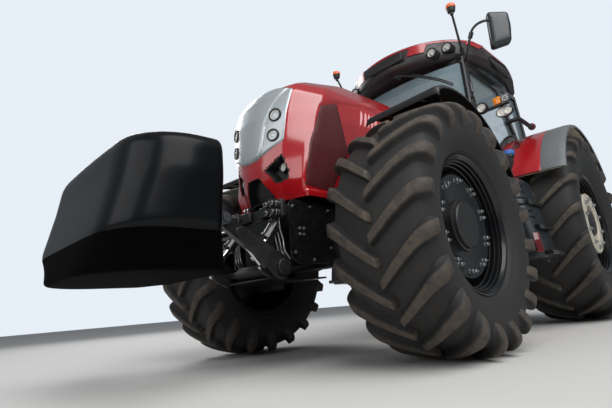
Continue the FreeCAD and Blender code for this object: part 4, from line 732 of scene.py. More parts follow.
class TRACTOR_OT_tyres(bpy.types.Operator):
    """Lugged tyres: a turned carcass with ribbed walls and swept lugs"""
    bl_idname = "tractor.tyres"
    bl_label = "Tyres"

    def execute(self, context):
        sizes = context.scene.tractor_sizes
        for axle, seat, lugs in (("front", sizes.front_seat, sizes.front_lugs),
                                 ("rear", sizes.rear_seat, sizes.rear_lugs)):
            width, height = (np.subtract(*corners_of(axle + "_tyre_left")[::-1]))[1:]
            (points, faces), wear = tyre_shape(height / 2.0, width, seat, RIM_HALF[axle], lugs, sizes.lug_height)
            pair("tyre_" + axle + "_{side}", (points + wheel_centre(axle), faces), "rubber",
                 axle + "_wheel_{s}", (axle + "_tyre_{side}",), 50.0, wear)
        return {"FINISHED"}


def hex_nut(centre, across, height):
    """Six-sided nut with a washer and a stud end, its axis along Y."""
    angle = np.radians(np.arange(6) * 60.0)
    r = across / math.sqrt(3.0)
    rings = []
    for y, k in ((0.0, 1.35), (0.004, 1.35), (0.004, 1.0), (height, 1.0), (height + 0.002, 0.8),
                 (height + 0.002, 0.5), (height + 0.012, 0.5)):
        rings.append(np.stack([r * k * np.sin(angle), np.full(6, y), r * k * np.cos(angle)], -1))
    points, faces = nested(rings, [0.0, 0.0, 0.0], [0.0, height + 0.012, 0.0])
    return points + np.asarray(centre), faces


# Wheel profiles: out from the wheel's middle plane, and radius
FRONT_DISC = [(0.168, 0.0), (0.168, 0.318), (0.172, 0.325), (0.172, 0.340), (0.165, 0.350), (0.122, 0.374),
              (0.112, 0.393), (0.085, 0.393), (0.085, 0.374), (0.150, 0.335), (0.150, 0.0)]
FRONT_HUB = [(0.155, 0.0), (0.155, 0.172), (0.176, 0.170), (0.180, 0.156), (0.198, 0.152), (0.205, 0.144),
             (0.206, 0.120), (0.203, 0.112), (0.203, 0.0)]
REAR_DISC = [(0.185, 0.0), (0.185, 0.330), (0.200, 0.340), (0.262, 0.340), (0.270, 0.332), (0.270, 0.215),
             (0.262, 0.205), (0.215, 0.200), (0.215, 0.0)]
REAR_HUB = [(0.20, 0.0), (0.20, 0.185), (0.222, 0.180), (0.228, 0.150), (0.262, 0.140), (0.270, 0.128),
            (0.270, 0.070), (0.278, 0.062), (0.278, 0.0)]


class TRACTOR_OT_wheels(bpy.types.Operator):
    """Rims turned smooth from stepped profiles, their nuts and hub caps, and the rear discs"""
    bl_idname = "tractor.wheels"
    bl_label = "Rims and nuts"

    def execute(self, context):
        sizes = context.scene.tractor_sizes
        well = sizes.rear_seat - 0.039
        dish = [(0.205, 0.30), (0.205, 0.332), (0.150, 0.390), (0.095, 0.450), (0.062, well), (0.030, well),
                (0.065, 0.450), (0.120, 0.385), (0.180, 0.30)]
        self.barrel("front", sizes.front_seat)
        self.barrel("rear", sizes.rear_seat)
        self.turn("disc_front", FRONT_DISC, "front", "rim_black")
        self.turn("hub_cap_front", FRONT_HUB, "front", "trim")
        self.nuts("front", 0.300, 0.167, (-4.5, 4.5), sizes.front_nut_across)
        self.turn("dish_rear", dish, "rear", "rim_black")
        self.turn("disc_rear", REAR_DISC, "rear", "cream", ("rear_disc_{side}",))
        self.turn("hub_cap_rear", REAR_HUB, "rear", "trim")
        self.nuts("rear", 0.272, 0.268, (0.0,), sizes.nut_across)
        return {"FINISHED"}

    def turn(self, name, profile, axle, finish, replaces=()):
        """Wheel part turned about its axle from a profile."""
        pair(name + "_{side}", lathe(profile, wheel_centre(axle)), finish, axle + "_wheel_{s}", replaces, 32.0)

    def barrel(self, axle, seat):
        """Drop-centre barrel with rolled flanges; three steps go down on its outer side."""
        half, edge, wall, well = RIM_HALF[axle], seat + 0.022, seat - 0.012, seat - 0.040
        profile = [(-half, edge), (-half, edge - 0.008), (-half + 0.012, wall), (-half + 0.105, wall),
                   (-half + 0.15, well), (half - 0.150, well), (half - 0.128, seat - 0.038),
                   (half - 0.100, seat - 0.037), (half - 0.096, seat - 0.028), (half - 0.070, seat - 0.026),
                   (half - 0.066, seat - 0.018), (half - 0.044, seat - 0.016), (half - 0.040, seat - 0.009),
                   (half - 0.022, seat - 0.007), (half - 0.010, seat + 0.004), (half - 0.004, edge - 0.012),
                   (half, edge - 0.005), (half - 0.001, edge), (half - 0.007, edge), (half - 0.010, seat + 0.006),
                   (half - 0.014, seat), (half - 0.104, seat), (half - 0.144, seat - 0.028),
                   (-half + 0.144, seat - 0.028), (-half + 0.104, seat), (-half + 0.008, seat),
                   (-half + 0.008, edge)]
        self.turn("barrel_" + axle, profile, axle, "rim_black", (axle + "_rim_{side}",))

    def nuts(self, axle, radius, face, leans, across):
        """Ten evenly spaced studs at a radius, each with a nut at every lean in degrees from it."""
        made = []
        for bearing in np.arange(0.0, 360.0, 36.0):
            for lean in leans:
                a = math.radians(bearing + lean)
                spot = wheel_centre(axle) + np.array([radius * math.sin(a), face, radius * math.cos(a)])
                made.append(hex_nut(spot, across, 0.026))
        pair("wheel_nuts_" + axle + "_{side}", merge(*made), "nut", axle + "_wheel_{s}", (), 25.0)


def prism(outline, start, end, along="y"):
    """Flat plate: an outline drawn square to an axis and carried from start to end along it.

    The outline is (x, z) for "y", (y, z) for "x" and (x, y) for "z"; its caps fan out from its middle.
    """
    flat = np.asarray(outline, float)
    spot = {"y": (0, 2, 1), "x": (1, 2, 0), "z": (0, 1, 2)}[along]
    loops = []
    for level in (start, end):
        loop = np.zeros((len(flat), 3))
        loop[:, spot[0]], loop[:, spot[1]], loop[:, spot[2]] = flat[:, 0], flat[:, 1], level
        loops.append(loop)
    return capped(loops)


def ring_about(outline, factor):
    """A closed outline drawn in or out about its own middle."""
    middle = outline.mean(axis=0)
    return middle + (outline - middle) * factor


# Hood features as (s, z) on the skin, the left side's
MASK_FOOT = ([0.0, 0.078, 0.301], [1.490, 1.496, 1.600])
MASK_EDGE = (0.301, 0.354)
MASK_HEAD = (2.112, 2.016)
MASK_CREASE = ([1.496, 1.539, 1.747, 1.879, 1.993, 2.07], [0.078, 0.121, 0.150, 0.194, 0.267, 0.33])
RECESS = [(0.121, 1.397), (0.199, 1.283), (0.301, 1.307), (0.325, 1.364), (0.286, 1.506)]
INTAKE = [(-0.068, 1.364), (-0.150, 1.231), (-0.190, 1.150), (0.190, 1.150), (0.150, 1.231), (0.068, 1.364)]
SCREEN = [(0.405, 1.240), (0.484, 1.591), (0.581, 1.893), (0.780, 1.972), (0.925, 1.548), (0.712, 1.222)]
LEDGE = ([0.50, 0.591, 0.780, 0.954, 1.070, 1.385, 1.900], [1.87, 1.908, 1.991, 2.035, 2.054, 2.100, 2.130])
FOLD = ([1.235, 1.260, 1.591, 1.898], [0.392, 0.402, 0.484, 0.581])
LOUVRES = (1.099, 1.157, 1.206, 1.254, 1.303)
HEADLAMPS = ((0.243, 1.813, 0.050), (0.228, 1.650, 0.047))
RECESS_LAMP = (0.268, 1.408, 0.040)
LOUVRE_FOOT_HEAD = (1.812, 2.026)
CROWN_RISE = 0.014


def ledge_inset(s, z):
    """The flank lies a centimetre under the ledge line, behind the fold."""
    s = np.abs(s)
    behind = step(s - np.interp(z, *FOLD), -0.006, 0.030)
    below = step(np.interp(s, *LEDGE) - z, -0.004, 0.024)
    return -0.011 * behind * below * step(z, 1.200, 1.216)


class TRACTOR_OT_hood(bpy.types.Operator):
    """Hood skin from its level table, with ledge, openings, crown, side screens and louvres"""
    bl_idname = "tractor.hood"
    bl_label = "Hood"

    def execute(self, context):
        self.skin()
        self.screens()
        for side, sign in SIDES:
            self.louvres(sign, side)
        return {"FINISHED"}

    def skin(self):
        """Rows of even height, points close together at the nose; a low crown closes it between its tops."""
        heights, _, _, ends = hood_table()
        z = np.linspace(heights[0], heights[-1], 92)
        v = np.linspace(-1.0, 1.0, 221)
        v = 0.42 * v + 0.58 * v ** 3
        reach = np.interp(z, heights, ends)
        s, zz = v[None, :] * reach[:, None], np.broadcast_to(z[:, None], (len(z), len(v)))
        skin = on_hood(s, zz, ledge_inset(s, zz))
        crown = []
        for t in np.linspace(0.0, 1.0, 8)[1:]:
            row = skin[-1].copy()
            row[:, 1] *= 1.0 - t
            row[:, 2] += CROWN_RISE * (1.0 - (1.0 - t) ** 2)
            crown.append(row)
        points = np.concatenate([skin, crown])
        rows, columns = points.shape[:2]
        same = np.arange(rows * columns)
        last = same[-columns:]
        same[-columns:] = np.where(np.arange(columns) > columns // 2, last[::-1], last)
        open_here = inside(np.stack([np.abs(s), zz], -1), ring_about(np.array(RECESS), 0.88).tolist())
        open_here |= inside(np.stack([s, zz], -1), ring_about(np.array(INTAKE), 0.9).tolist())
        open_here = np.concatenate([open_here, np.zeros((rows - len(s), columns), bool)])
        keep = ~(open_here[:-1, :-1] | open_here[1:, :-1] | open_here[:-1, 1:] | open_here[1:, 1:])
        mesh_piece("hood_skin", solid_sheet(points, 0.008, keep=keep, same=same), "red", "hood", ("hood_shell",),
                   34.0)

    def screens(self):
        """Panels that follow the skin inside their outline, a millimetre proud of it."""
        outline, out, depth = around(SCREEN, 96, 0.025), 0.001, 0.018
        loops = []
        for share, level in ((1.0, -depth), (1.0, out - 0.003), (0.975, out), (0.8, out), (0.6, out),
                             (0.4, out), (0.2, out)):
            ring = ring_about(outline, share)
            loops.append(on_hood(ring[:, 0], ring[:, 1], level))
        middle = outline.mean(axis=0)
        panel = nested(loops, on_hood(*middle, -depth), on_hood(*middle, out))
        pair("side_screen_{side}", panel, "screen_red", "hood", ("side_screens",), 30.0)

    def louvres(self, sign, side):
        """Five leaning slots, each with a curved blade in it that tapers into the skin at both ends."""
        z = np.linspace(*LOUVRE_FOOT_HEAD, 16)
        lean = np.linspace(-0.014, 0.0, 16)[:, None]
        taper = np.sin(np.linspace(0.0, np.pi, 16))[:, None] ** 0.4
        slot = np.array([-0.017, 0.017])
        blade, proud = np.array([(-0.016, -0.009), (-0.006, -0.003), (0.006, 0.004), (0.012, 0.006)]).T
        slots, blades = [], []
        for s in LOUVRES:
            slots.append(solid_sheet(on_hood(sign * (s + lean + slot), z[:, None], -0.0085), 0.004))
            out = -0.009 + (proud + 0.009) * taper
            blades.append(solid_sheet(on_hood(sign * (s + lean + blade), z[:, None], out), 0.0025))
        mesh_piece("louvre_slots_" + side, merge(*slots), "trim", "hood")
        mesh_piece("louvre_blades_" + side, merge(*blades), "red", "hood")


def round_lamps(name, centre, radius, body, depth, replaces=(), yaw=0.0):
    """Pair of round lamps facing forward, or turned outward by yaw: black ring, pale bowl, domed clear lens."""
    turn = rotation(0.0, 0.0, yaw)
    # distance forward, and radius
    ring = [(-depth, 0.0), (-depth, radius * 1.06), (0.009, radius * 1.06), (0.014, radius), (0.012, radius * 0.82),
            (0.0, radius * 0.79), (-depth * 0.9, radius * 0.3), (-depth * 0.9, 0.0)]
    bowl = [(-depth * 0.8, 0.0), (-depth * 0.8, radius * 0.45), (0.001, radius * 0.78), (0.003, radius * 0.78),
            (-depth * 0.5, radius * 0.47), (-depth * 0.62, radius * 0.24), (0.0, radius * 0.20), (0.002, 0.0)]
    lens = [(0.004, 0.0), (0.004, radius * 0.85), (0.007, radius * 0.85), (0.011, radius * 0.5), (0.013, 0.0)]
    for part, profile, steps, finish, nodes in (("_ring", ring, 48, "trim", ()), ("_bowl", bowl, 36, "reflector", ()),
                                                ("_lens", lens, 36, "lens", replaces)):
        points, faces = lathe(profile, (0.0, 0.0, 0.0), steps, "x")
        pair(name + part, (points @ turn.T + np.asarray(centre, float), faces), finish, body, nodes)


class TRACTOR_OT_mask(bpy.types.Operator):
    """Silver mask with its raised middle, headlamps, side recesses and the lower intake"""
    bl_idname = "tractor.mask"
    bl_label = "Mask and headlamps"

    def execute(self, context):
        self.plate()
        for k, (s, z, radius) in enumerate(HEADLAMPS):
            spot, near = on_hood(s, z, 0.018), on_hood(s + 0.02, z, 0.018)
            yaw = math.degrees(math.atan2(spot[0] - near[0], abs(near[1] - spot[1])))
            round_lamps("headlamp_{side}_%d" % k, spot, radius, "hood", 0.03, ("headlamps",), yaw)
        # share of the outline, out from the skin, back along the machine
        recess = self.lined_opening(around(RECESS, 60, 0.02), (
            (0.93, -0.006, 0.098), (0.98, -0.007, 0.0), (0.98, 0.0012, 0.0), (0.84, 0.0012, 0.0),
            (0.80, -0.004, 0.09)))
        pair("recess_{side}", recess, "trim", "hood")
        lamp_s, lamp_z, radius = RECESS_LAMP
        round_lamps("recess_lamp_{side}", on_hood(lamp_s, lamp_z) - [0.035, 0.012, 0.0], radius, "hood", 0.03)
        foot = HOOD_LEVELS[0, 0] + 0.002
        intake = self.lined_opening(around([(s, max(z, foot)) for s, z in INTAKE], 72, 0.015), (
            (0.96, -0.006, 0.07), (0.98, -0.007, 0.0), (0.98, 0.0012, 0.0), (0.9, 0.0012, 0.0),
            (0.86, -0.004, 0.06)))
        mesh_piece("intake", intake, "trim", "hood")
        return {"FINISHED"}

    def plate(self):
        """Grid over (across, up) between the mask's foot and head lines, raised inside its crease."""
        u, t = np.linspace(-1.0, 1.0, 91), np.linspace(0.0, 1.0, 72)[:, None]
        foot = np.interp(np.abs(u) * MASK_EDGE[0], *MASK_FOOT)
        head = MASK_HEAD[0] + (MASK_HEAD[1] - MASK_HEAD[0]) * u ** 2
        z = foot * (1.0 - t) + head * t
        s = u * (MASK_EDGE[0] * (1.0 - t) + MASK_EDGE[1] * t)
        raised = step(np.interp(z, *MASK_CREASE) - np.abs(s), -0.008, 0.006)
        edge = step(1.0 - np.abs(u), 0.0, 0.03) * step(t, 0.0, 0.02) * step(1.0 - t, 0.0, 0.02)
        points = on_hood(s, z, 0.002 + 0.006 * edge + 0.011 * raised * edge)
        mesh_piece("mask", solid_sheet(points, 0.010), "silver", "hood", ("hood_mask",), 26.0)

    def lined_opening(self, outline, sections):
        """Black box behind an opening of the hood: one ring of its outline for each section."""
        loops = []
        for share, out, back in sections:
            ring = ring_about(outline, share)
            loops.append(on_hood(ring[:, 0], ring[:, 1], out) - [back, 0.0, 0.0])
        return capped(loops)


def blended(rows, count, passes):
    """Rows of a grid drawn out to count even steps and rounded by a moving average."""
    stack = np.stack(rows)
    run = np.concatenate([[0.0], np.cumsum(np.linalg.norm(np.diff(stack, axis=0), axis=-1).mean(axis=1))])
    fine = np.linspace(0.0, run[-1], count)
    k = np.clip(np.searchsorted(run, fine, "right") - 1, 0, len(run) - 2)
    u = ((fine - run[k]) / (run[k + 1] - run[k]))[:, None, None]
    grid = stack[k] * (1.0 - u) + stack[k + 1] * u
    for _ in range(passes):
        inner = 0.25 * grid[:-2] + 0.5 * grid[1:-1] + 0.25 * grid[2:]
        grid = np.concatenate([grid[:1], inner, grid[-1:]])
    return grid


# Weight: height, back and front ahead of the front axle, half width, corner radius, chamfer
WEIGHT_LEVELS = [(0.617, 1.270, 1.985, 0.495, 0.320, 0.200), (0.617, 1.230, 2.020, 0.530, 0.340, 0.220),
                 (0.808, 1.275, 1.985, 0.690, 0.260, 0.330), (1.080, 1.275, 1.920, 0.722, 0.300, 0.330),
                 (1.225, 1.280, 1.892, 0.720, 0.300, 0.320), (1.272, 1.290, 1.862, 0.692, 0.290, 0.300),
                 (1.284, 1.330, 1.800, 0.620, 0.260, 0.260)]
# Height below which the weight is cased in a dull near-black shell: painted shade on its underside
WEIGHT_SHADE_TOP = 0.795
UPPER_HOOK_RISE = 0.216


class TRACTOR_OT_weight(bpy.types.Operator):
    """Cast front weight: rounded outlines stacked over one another, and its hook ears"""
    bl_idname = "tractor.weight"
    bl_label = "Front weight"

    def execute(self, context):
        loops = []
        for z, back, front, half, corner, chamfer in WEIGHT_LEVELS:
            arc = np.radians(np.linspace(0.0, 90.0, 8))
            side = [(back, half - chamfer), (back + 0.6 * chamfer, half)]
            side += [(front - corner * (1.0 - math.sin(a)), half - corner * (1.0 - math.cos(a))) for a in arc]
            flat = around(side + [(x, -y) for x, y in side[::-1]], 220, 0.05)
            loops.append(np.column_stack([flat[:, 0] + FRONT_AXLE, flat[:, 1], np.full(len(flat), z)]))
        grid = blended(loops, 96, 12)
        grid[:, :, 2] += 0.030 * step(grid[:, :, 2], 1.05, 1.28) * (1.0 - (grid[:, :, 1] / 0.73) ** 2)
        mesh_piece("weight_block", capped(grid), "weight_black", "weight", ("front_weight",), 40.0)
        # Painted shade: the weight's lower rows, drawn out a little, become a dull near-black shell that darkens the
        # underside
        under = grid[grid[:, 0, 2] < WEIGHT_SHADE_TOP]
        middle = under.mean(axis=(0, 1))
        under = middle + (under - middle) * 1.004 - [0.0, 0.0, 0.001]
        mesh_piece("weight_painted_shade_shell", capped(under), "painted_shade_black", "weight", (), 40.0)
        self.ears()
        return {"FINISHED"}

    def ears(self):
        """Paired hook plates off the weight's back, about the arms' upper front corner, and their pins."""
        high = corners_of("front_arms")[1]
        hook = np.array([high[0] - 0.042, 0.0, high[2] - 0.042])
        back = FRONT_AXLE + 1.285
        arc = np.radians(np.linspace(270.0, 90.0, 13))
        parts = []
        for rise, spots in ((0.0, ((-0.352, -0.326), (-0.280, -0.248), (0.248, 0.280), (0.326, 0.352))),
                            (UPPER_HOOK_RISE, ((-0.060, -0.033), (0.033, 0.060)))):
            z = hook[2] + rise
            outline = [(back, z - 0.06), *zip(hook[0] + 0.038 * np.cos(arc), z + 0.038 * np.sin(arc)),
                       (back, z + 0.05)]
            parts += [prism(outline, a, b) for a, b in spots]
        for y0, y1, rise in ((0.245, 0.36, 0.0), (-0.36, -0.245, 0.0), (-0.062, 0.062, UPPER_HOOK_RISE)):
            pin = [(y0, 0.0), (y0, 0.025), (y1, 0.025), (y1, 0.0)]
            parts.append(lathe(pin, hook + [0.0, 0.0, rise], 24))
        mesh_piece("weight_ears", merge(*parts), "hook_iron", "weight", (), 30.0, bevel=0.003)


def ra(x):
    """X of a station ahead of the rear axle."""
    return REAR_AXLE + x


SIDE_LEAN = 0.08 / 1.48


def side_y(z, out=0.0):
    """The cab's leaning side face at height z, and a distance out from it."""
    return 0.87 - SIDE_LEAN * (z - 1.48) + out


def door_x(z):
    """X of the door's front edge at height z."""
    return ra(1.45 - 0.235 * (z - 1.45) / 1.44)


def both(shape):
    """A shape with its mirror image."""
    return merge(shape, mirrored(shape))


def plan_ring(corners, z, inset_x, inset_y, count, radius):
    """Plan outline (x, y), half of it given from the front's middle, drawn in and set at height z."""
    half = np.asarray(corners, float)
    flat = around(np.concatenate([half, half[::-1] * [1.0, -1.0]]), count, radius)
    low, high = flat.min(axis=0), flat.max(axis=0)
    middle, reach = (low + high) / 2.0, (high - low) / 2.0
    flat = middle + (flat - middle) * (1.0 - np.array([inset_x, inset_y]) / reach)
    return np.column_stack([flat, np.full(count, z)])


# Roof plan ahead of the rear axle, half of it from the front's middle: an arc, then corners
ROOF_ARC_X, ROOF_ARC_R = 0.704, 0.936
ROOF_ARC = [(ROOF_ARC_X + ROOF_ARC_R * math.cos(a), ROOF_ARC_R * math.sin(a))
            for a in np.radians(np.linspace(0.0, 57.0, 15))]
ROOF_PLAN = ROOF_ARC + [(1.08, 0.860), (0.85, 0.905), (0.20, 0.915), (-0.08, 0.880), (-0.36, 0.790),
                        (-0.43, 0.700)]
ROOF_LAMPS = ((1.500, 0.555, 3.040), (1.385, 0.690, 3.088))
REAR_RISE = 0.075
DOOR_ARCH_R = 1.218


class TRACTOR_OT_roof(bpy.types.Operator):
    """Roof in two shells, dark below and red on top, its plate, work lamps, vents and lining"""
    bl_idname = "tractor.roof"
    bl_label = "Roof"

    def execute(self, context):
        # height, drawn in along and across
        low = self.shell([(2.962, 0.30, 0.12), (2.957, 0.10, 0.085), (2.962, 0.055, 0.05), (2.985, 0.02, 0.022),
                          (3.02, 0.0, 0.0), (3.10, 0.0, 0.0), (3.165, 0.006, 0.006), (3.185, 0.012, 0.012),
                          (3.188, 0.02, 0.02)])
        top = self.shell([(3.186, 0.03, 0.03), (3.190, 0.012, 0.012), (3.208, 0.012, 0.012), (3.232, 0.04, 0.03),
                          (3.252, 0.09, 0.08), (3.268, 0.17, 0.16), (3.276, 0.28, 0.28), (3.278, 0.5, 0.5)])
        lining = self.shell([(2.935, 0.34, 0.16), (2.932, 0.36, 0.18), (2.956, 0.36, 0.18), (2.957, 0.34, 0.17)])
        mesh_piece("roof_lower", low, "roof", replaces=("cab_roof",), smooth=32.0)
        mesh_piece("roof_upper", top, "red", smooth=32.0)
        mesh_piece("roof_lining", lining, "lining", smooth=32.0)
        header = [(ra(x), z) for x, z in ((1.22, 2.925), (1.20, 2.962), (0.72, 3.03), (0.30, 3.04), (-0.02, 3.03),
                                          (-0.10, 2.925))]
        mesh_piece("header_panes", both(prism(header, 0.778, 0.784)), "glass", smooth=30.0)
        self.red_panels()
        self.vents()
        for k, (x, y, z) in enumerate(ROOF_LAMPS):
            round_lamps("roof_lamp_{side}_%d" % k, (ra(x), y, z), 0.058, "chassis", 0.09, ("roof_lamps",))
        self.plate()
        return {"FINISHED"}

    def shell(self, levels):
        """Plan outlines stacked by height; all but the top rise toward the rear."""
        plan = [(ra(x), y) for x, y in ROOF_PLAN]
        loops = [plan_ring(plan, z, along, across, 240, 0.06) for z, along, across in levels]
        for loop in loops:
            rise = REAR_RISE * step(ra(1.15) - loop[:, 0], 0.0, 0.85) * step(ra(-0.38) - loop[:, 0], 0.0, -0.3)
            loop[:, 2] += rise * step(3.10 - loop[:, 2], 0.0, 0.12)
        return capped(loops)

    def side_form(self, outline, sections, stations, walls):
        """Form on the roof's side: rings of (out, share of the outline) set off from the wall's line."""
        loops = []
        for out, share in sections:
            ring = ring_about(outline, share)
            y = np.interp(ring[:, 0], stations, walls) + out
            loops.append(np.column_stack([ra(ring[:, 0]), y, ring[:, 1]]))
        return capped(loops)

    def red_panels(self):
        """Red panels that come down the roof's front beside the plate, and one on each front corner."""
        low, high = math.asin(0.300 / ROOF_ARC_R), math.asin(0.470 / ROOF_ARC_R)
        z = np.linspace(3.085, 3.196, 10)[:, None]
        angle = np.linspace(low, high, 14)[None] + (z - 3.085) * 0.5
        reach = ROOF_ARC_R + 0.0035
        for side, sign in SIDES:
            points = np.stack(np.broadcast_arrays(ra(ROOF_ARC_X + reach * np.cos(angle)),
                                                  sign * reach * np.sin(angle), z), -1)
            mesh_piece("roof_front_red_" + side, solid_sheet(points, 0.008), "red")
        corner = around([(0.98, 3.13), (1.16, 3.15), (1.13, 3.2), (0.86, 3.2)], 40, 0.02)
        panel = self.side_form(corner, ((-0.03, 1.0), (0.004, 1.0), (0.006, 0.95)),
                               (0.85, 1.08, 1.19), (0.905, 0.860, 0.80))
        pair("roof_corner_red_{side}", panel, "red")

    def vents(self):
        """Slanted oval recess in each side of the roof, with a raised rim."""
        oval = around([(0.10, 3.06), (0.22, 3.165), (0.72, 3.135), (0.80, 3.07), (0.60, 3.01), (0.20, 3.01)],
                      80, 0.12)
        vent = self.side_form(oval, ((-0.03, 1.0), (0.007, 1.0), (0.009, 0.97), (0.007, 0.93), (-0.004, 0.9),
                                     (-0.004, 0.4)), (0.0, 0.2, 0.85), (0.893, 0.914, 0.905))
        pair("roof_vent_{side}", vent, "trim", smooth=30.0)

    def plate(self):
        """Bare plate at the roof's front with a raised middle, on four stays."""
        low, high = corners_of("roof_plate")
        board = rounded_box([high[0] - 0.018, low[1], low[2]], high, 0.006)
        middle = rounded_box([high[0] - 0.019, low[1] + 0.012, low[2] + 0.012],
                             [high[0] + 0.0015, high[1] - 0.012, high[2] - 0.012], 0.004)
        stays = [tube([(high[0] - 0.11, y, z), (high[0] - 0.006, y, z)], 0.009)
                 for y in (-0.19, 0.19) for z in (low[2] + 0.025, high[2] - 0.025)]
        mesh_piece("roof_plate_board", merge(board, middle, *stays), "trim", replaces=("roof_plate",), smooth=30.0)


class TRACTOR_OT_mirrors(bpy.types.Operator):
    """Mirror heads turned toward the driver on their bent arms, and the two beacons"""
    bl_idname = "tractor.mirrors"
    bl_label = "Mirrors and beacons"

    def execute(self, context):
        self.mirrors()
        self.beacons()
        return {"FINISHED"}

    def mirrors(self):
        outline = around([(-0.115, -0.215), (0.085, -0.175), (0.112, 0.02), (0.108, 0.185), (-0.100, 0.222)],
                         72, 0.075)
        turn, centre = rotation(0.0, 0.0, 36.0), np.array([ra(1.275), 1.232, 3.055])

        def head(sections):
            """Rings of the outline at (distance forward, growth), turned and set in place."""
            return capped([np.column_stack([np.full(len(outline), forward), outline * (1.0 + growth)]) @ turn.T
                           + centre for forward, growth in sections])

        housing = head(((-0.040, -0.10), (-0.042, -0.02), (-0.036, 0.0), (0.0, 0.0), (0.014, -0.015),
                        (0.026, -0.06), (0.034, -0.14), (0.041, -0.28), (0.046, -0.5), (0.048, -0.8)))
        pane = head(((-0.040, -0.09), (-0.0445, -0.09), (-0.0445, -0.3)))
        bend = [(ra(1.24), 0.775, 2.900), (ra(1.30), 0.860, 2.925), (ra(1.35), 0.935, 3.060),
                (ra(1.36), 0.985, 3.150), (ra(1.36), 1.060, 3.188), (ra(1.345), 1.150, 3.180),
                (ra(1.31), 1.215, 3.150)]
        arm = tube(smooth_line(bend, 48), 0.014, 14)
        clamp = tube([(ra(1.352), 0.945, 3.075), (ra(1.357), 0.972, 3.128)], 0.024, 16)
        foot = rounded_box([ra(1.20), 0.752, 2.875], [ra(1.30), 0.802, 2.925], 0.012)
        pair("mirror_head_{side}", housing, "tank", replaces=("mirrors",), smooth=34.0)
        pair("mirror_glass_{side}", pane, "mirror", smooth=34.0)
        pair("mirror_arm_{side}", merge(arm, clamp, foot), "black")

    def beacons(self):
        foot, head = np.array([ra(1.25), 0.80, 2.985]), np.array([ra(1.475), 0.848, 3.395])
        stalk = tube(np.linspace(foot, head, 12), 0.0125, 14)
        clamp = tube(np.linspace(foot, foot + (head - foot) * 0.16, 4), 0.021, 14)
        # height over the stalk's top, and radius
        base = [(-0.025, 0.0), (-0.025, 0.018), (0.0, 0.022), (0.012, 0.040), (0.040, 0.047), (0.058, 0.050),
                (0.060, 0.0)]
        dome = [(0.058, 0.0), (0.058, 0.050), (0.066, 0.053), (0.088, 0.052), (0.099, 0.045), (0.103, 0.030),
                (0.104, 0.0)]
        pair("beacon_base_{side}", merge(stalk, clamp, lathe(base, head, 40, "z")), "trim", replaces=("beacons",))
        pair("beacon_dome_{side}", lathe(dome, head, 40, "z"), "orange", replaces=("beacons",))


class TRACTOR_OT_pillar_lamps(bpy.types.Operator):
    """Bent arm on each front post with a round lamp, a ringed oval lamp and the turn lamps"""
    bl_idname = "tractor.pillar_lamps"
    bl_label = "Pillar lamps"

    def execute(self, context):
        arm_z = 2.16
        line = [(ra(1.385), 0.80, arm_z), (ra(1.385), 0.86, arm_z), (ra(1.46), 0.955, arm_z),
                (ra(1.47), 1.00, arm_z), (ra(1.47), 1.225, arm_z)]
        drop = [(ra(1.462), 1.175, arm_z), (ra(1.462), 1.175, 2.07)]
        stub = [(ra(1.47), 0.975, arm_z), (ra(1.47), 0.975, 2.19)]
        arm = merge(tube(smooth_line(line, 40), 0.016, 14), tube(drop, 0.013, 12), tube(stub, 0.016, 12))
        pair("lamp_arm_{side}", arm, "black", replaces=("pillar_lamps",))
        round_lamps("pillar_lamp_{side}", (ra(1.50), 0.973, 2.189), 0.054, "chassis", 0.035)
        self.blocks()
        for side, sign in SIDES:
            self.oval(side, np.array([ra(1.485), sign * 1.175, 2.07]))
        return {"FINISHED"}

    def blocks(self):
        """Turn lamp and side lamp next to one another on the arm, rolled outward, the side one with a bowl."""
        roll = 4.0
        for name, inner, outer, finish in (("turn", 1.085, 1.163, "amber"), ("side", 1.163, 1.240, "lens")):
            half = 0.5 * (outer - inner)
            spot = np.array([ra(1.475), (inner + outer) / 2.0, 2.206])
            case = turned_box([-0.030, -half, -0.044], [0.012, half, 0.044], 0.020, spot, lean=roll)
            glow = turned_box([0.004, -half * 0.92, -0.039], [0.024, half * 0.92, 0.039], 0.018, spot, lean=roll)
            pair(name + "_case_{side}", case, "trim")
            pair(name + "_lens_{side}", glow, finish)
        dish = [(0.0, 0.0), (0.0, 0.016), (0.006, 0.026), (0.007, 0.026), (0.002, 0.010), (0.002, 0.0)]
        pair("side_dish_{side}", lathe(dish, spot + [0.0065, 0.0, 0.0], 32, "x"), "reflector")

    def oval(self, side, centre):
        """Oval lamp: black shell and ring, two pale bowls side by side, a clear lens."""
        angle = np.radians(np.linspace(0.0, 360.0, 64, endpoint=False))
        flat = np.column_stack([0.082 * np.cos(angle), 0.052 * np.sin(angle)])

        def rings(sections):
            return capped([np.column_stack([np.full(64, centre[0] + x), flat * share + centre[1:]])
                           for x, share in sections])

        shell = rings(((-0.055, 0.5), (-0.045, 0.75), (-0.010, 1.0), (0.012, 1.0), (0.018, 0.97), (0.016, 0.9),
                       (0.0, 0.87), (0.0, 0.2)))
        mesh_piece("oval_shell_" + side, shell, "trim")
        bowls = []
        for y, r in ((-0.033, 0.037), (0.036, 0.033)):
            dish = [(0.001, 0.0), (0.001, r), (0.0125, r), (0.0135, r * 0.96), (0.003, r * 0.4), (0.008, r * 0.25),
                    (0.009, 0.0)]
            bowls.append(lathe(dish, centre + [0.0, y, 0.0], 36, "x"))
        mesh_piece("oval_bowls_" + side, merge(*bowls), "reflector")
        mesh_piece("oval_lens_" + side, rings(((0.0145, 0.88), (0.017, 0.88), (0.021, 0.6))), "lens")


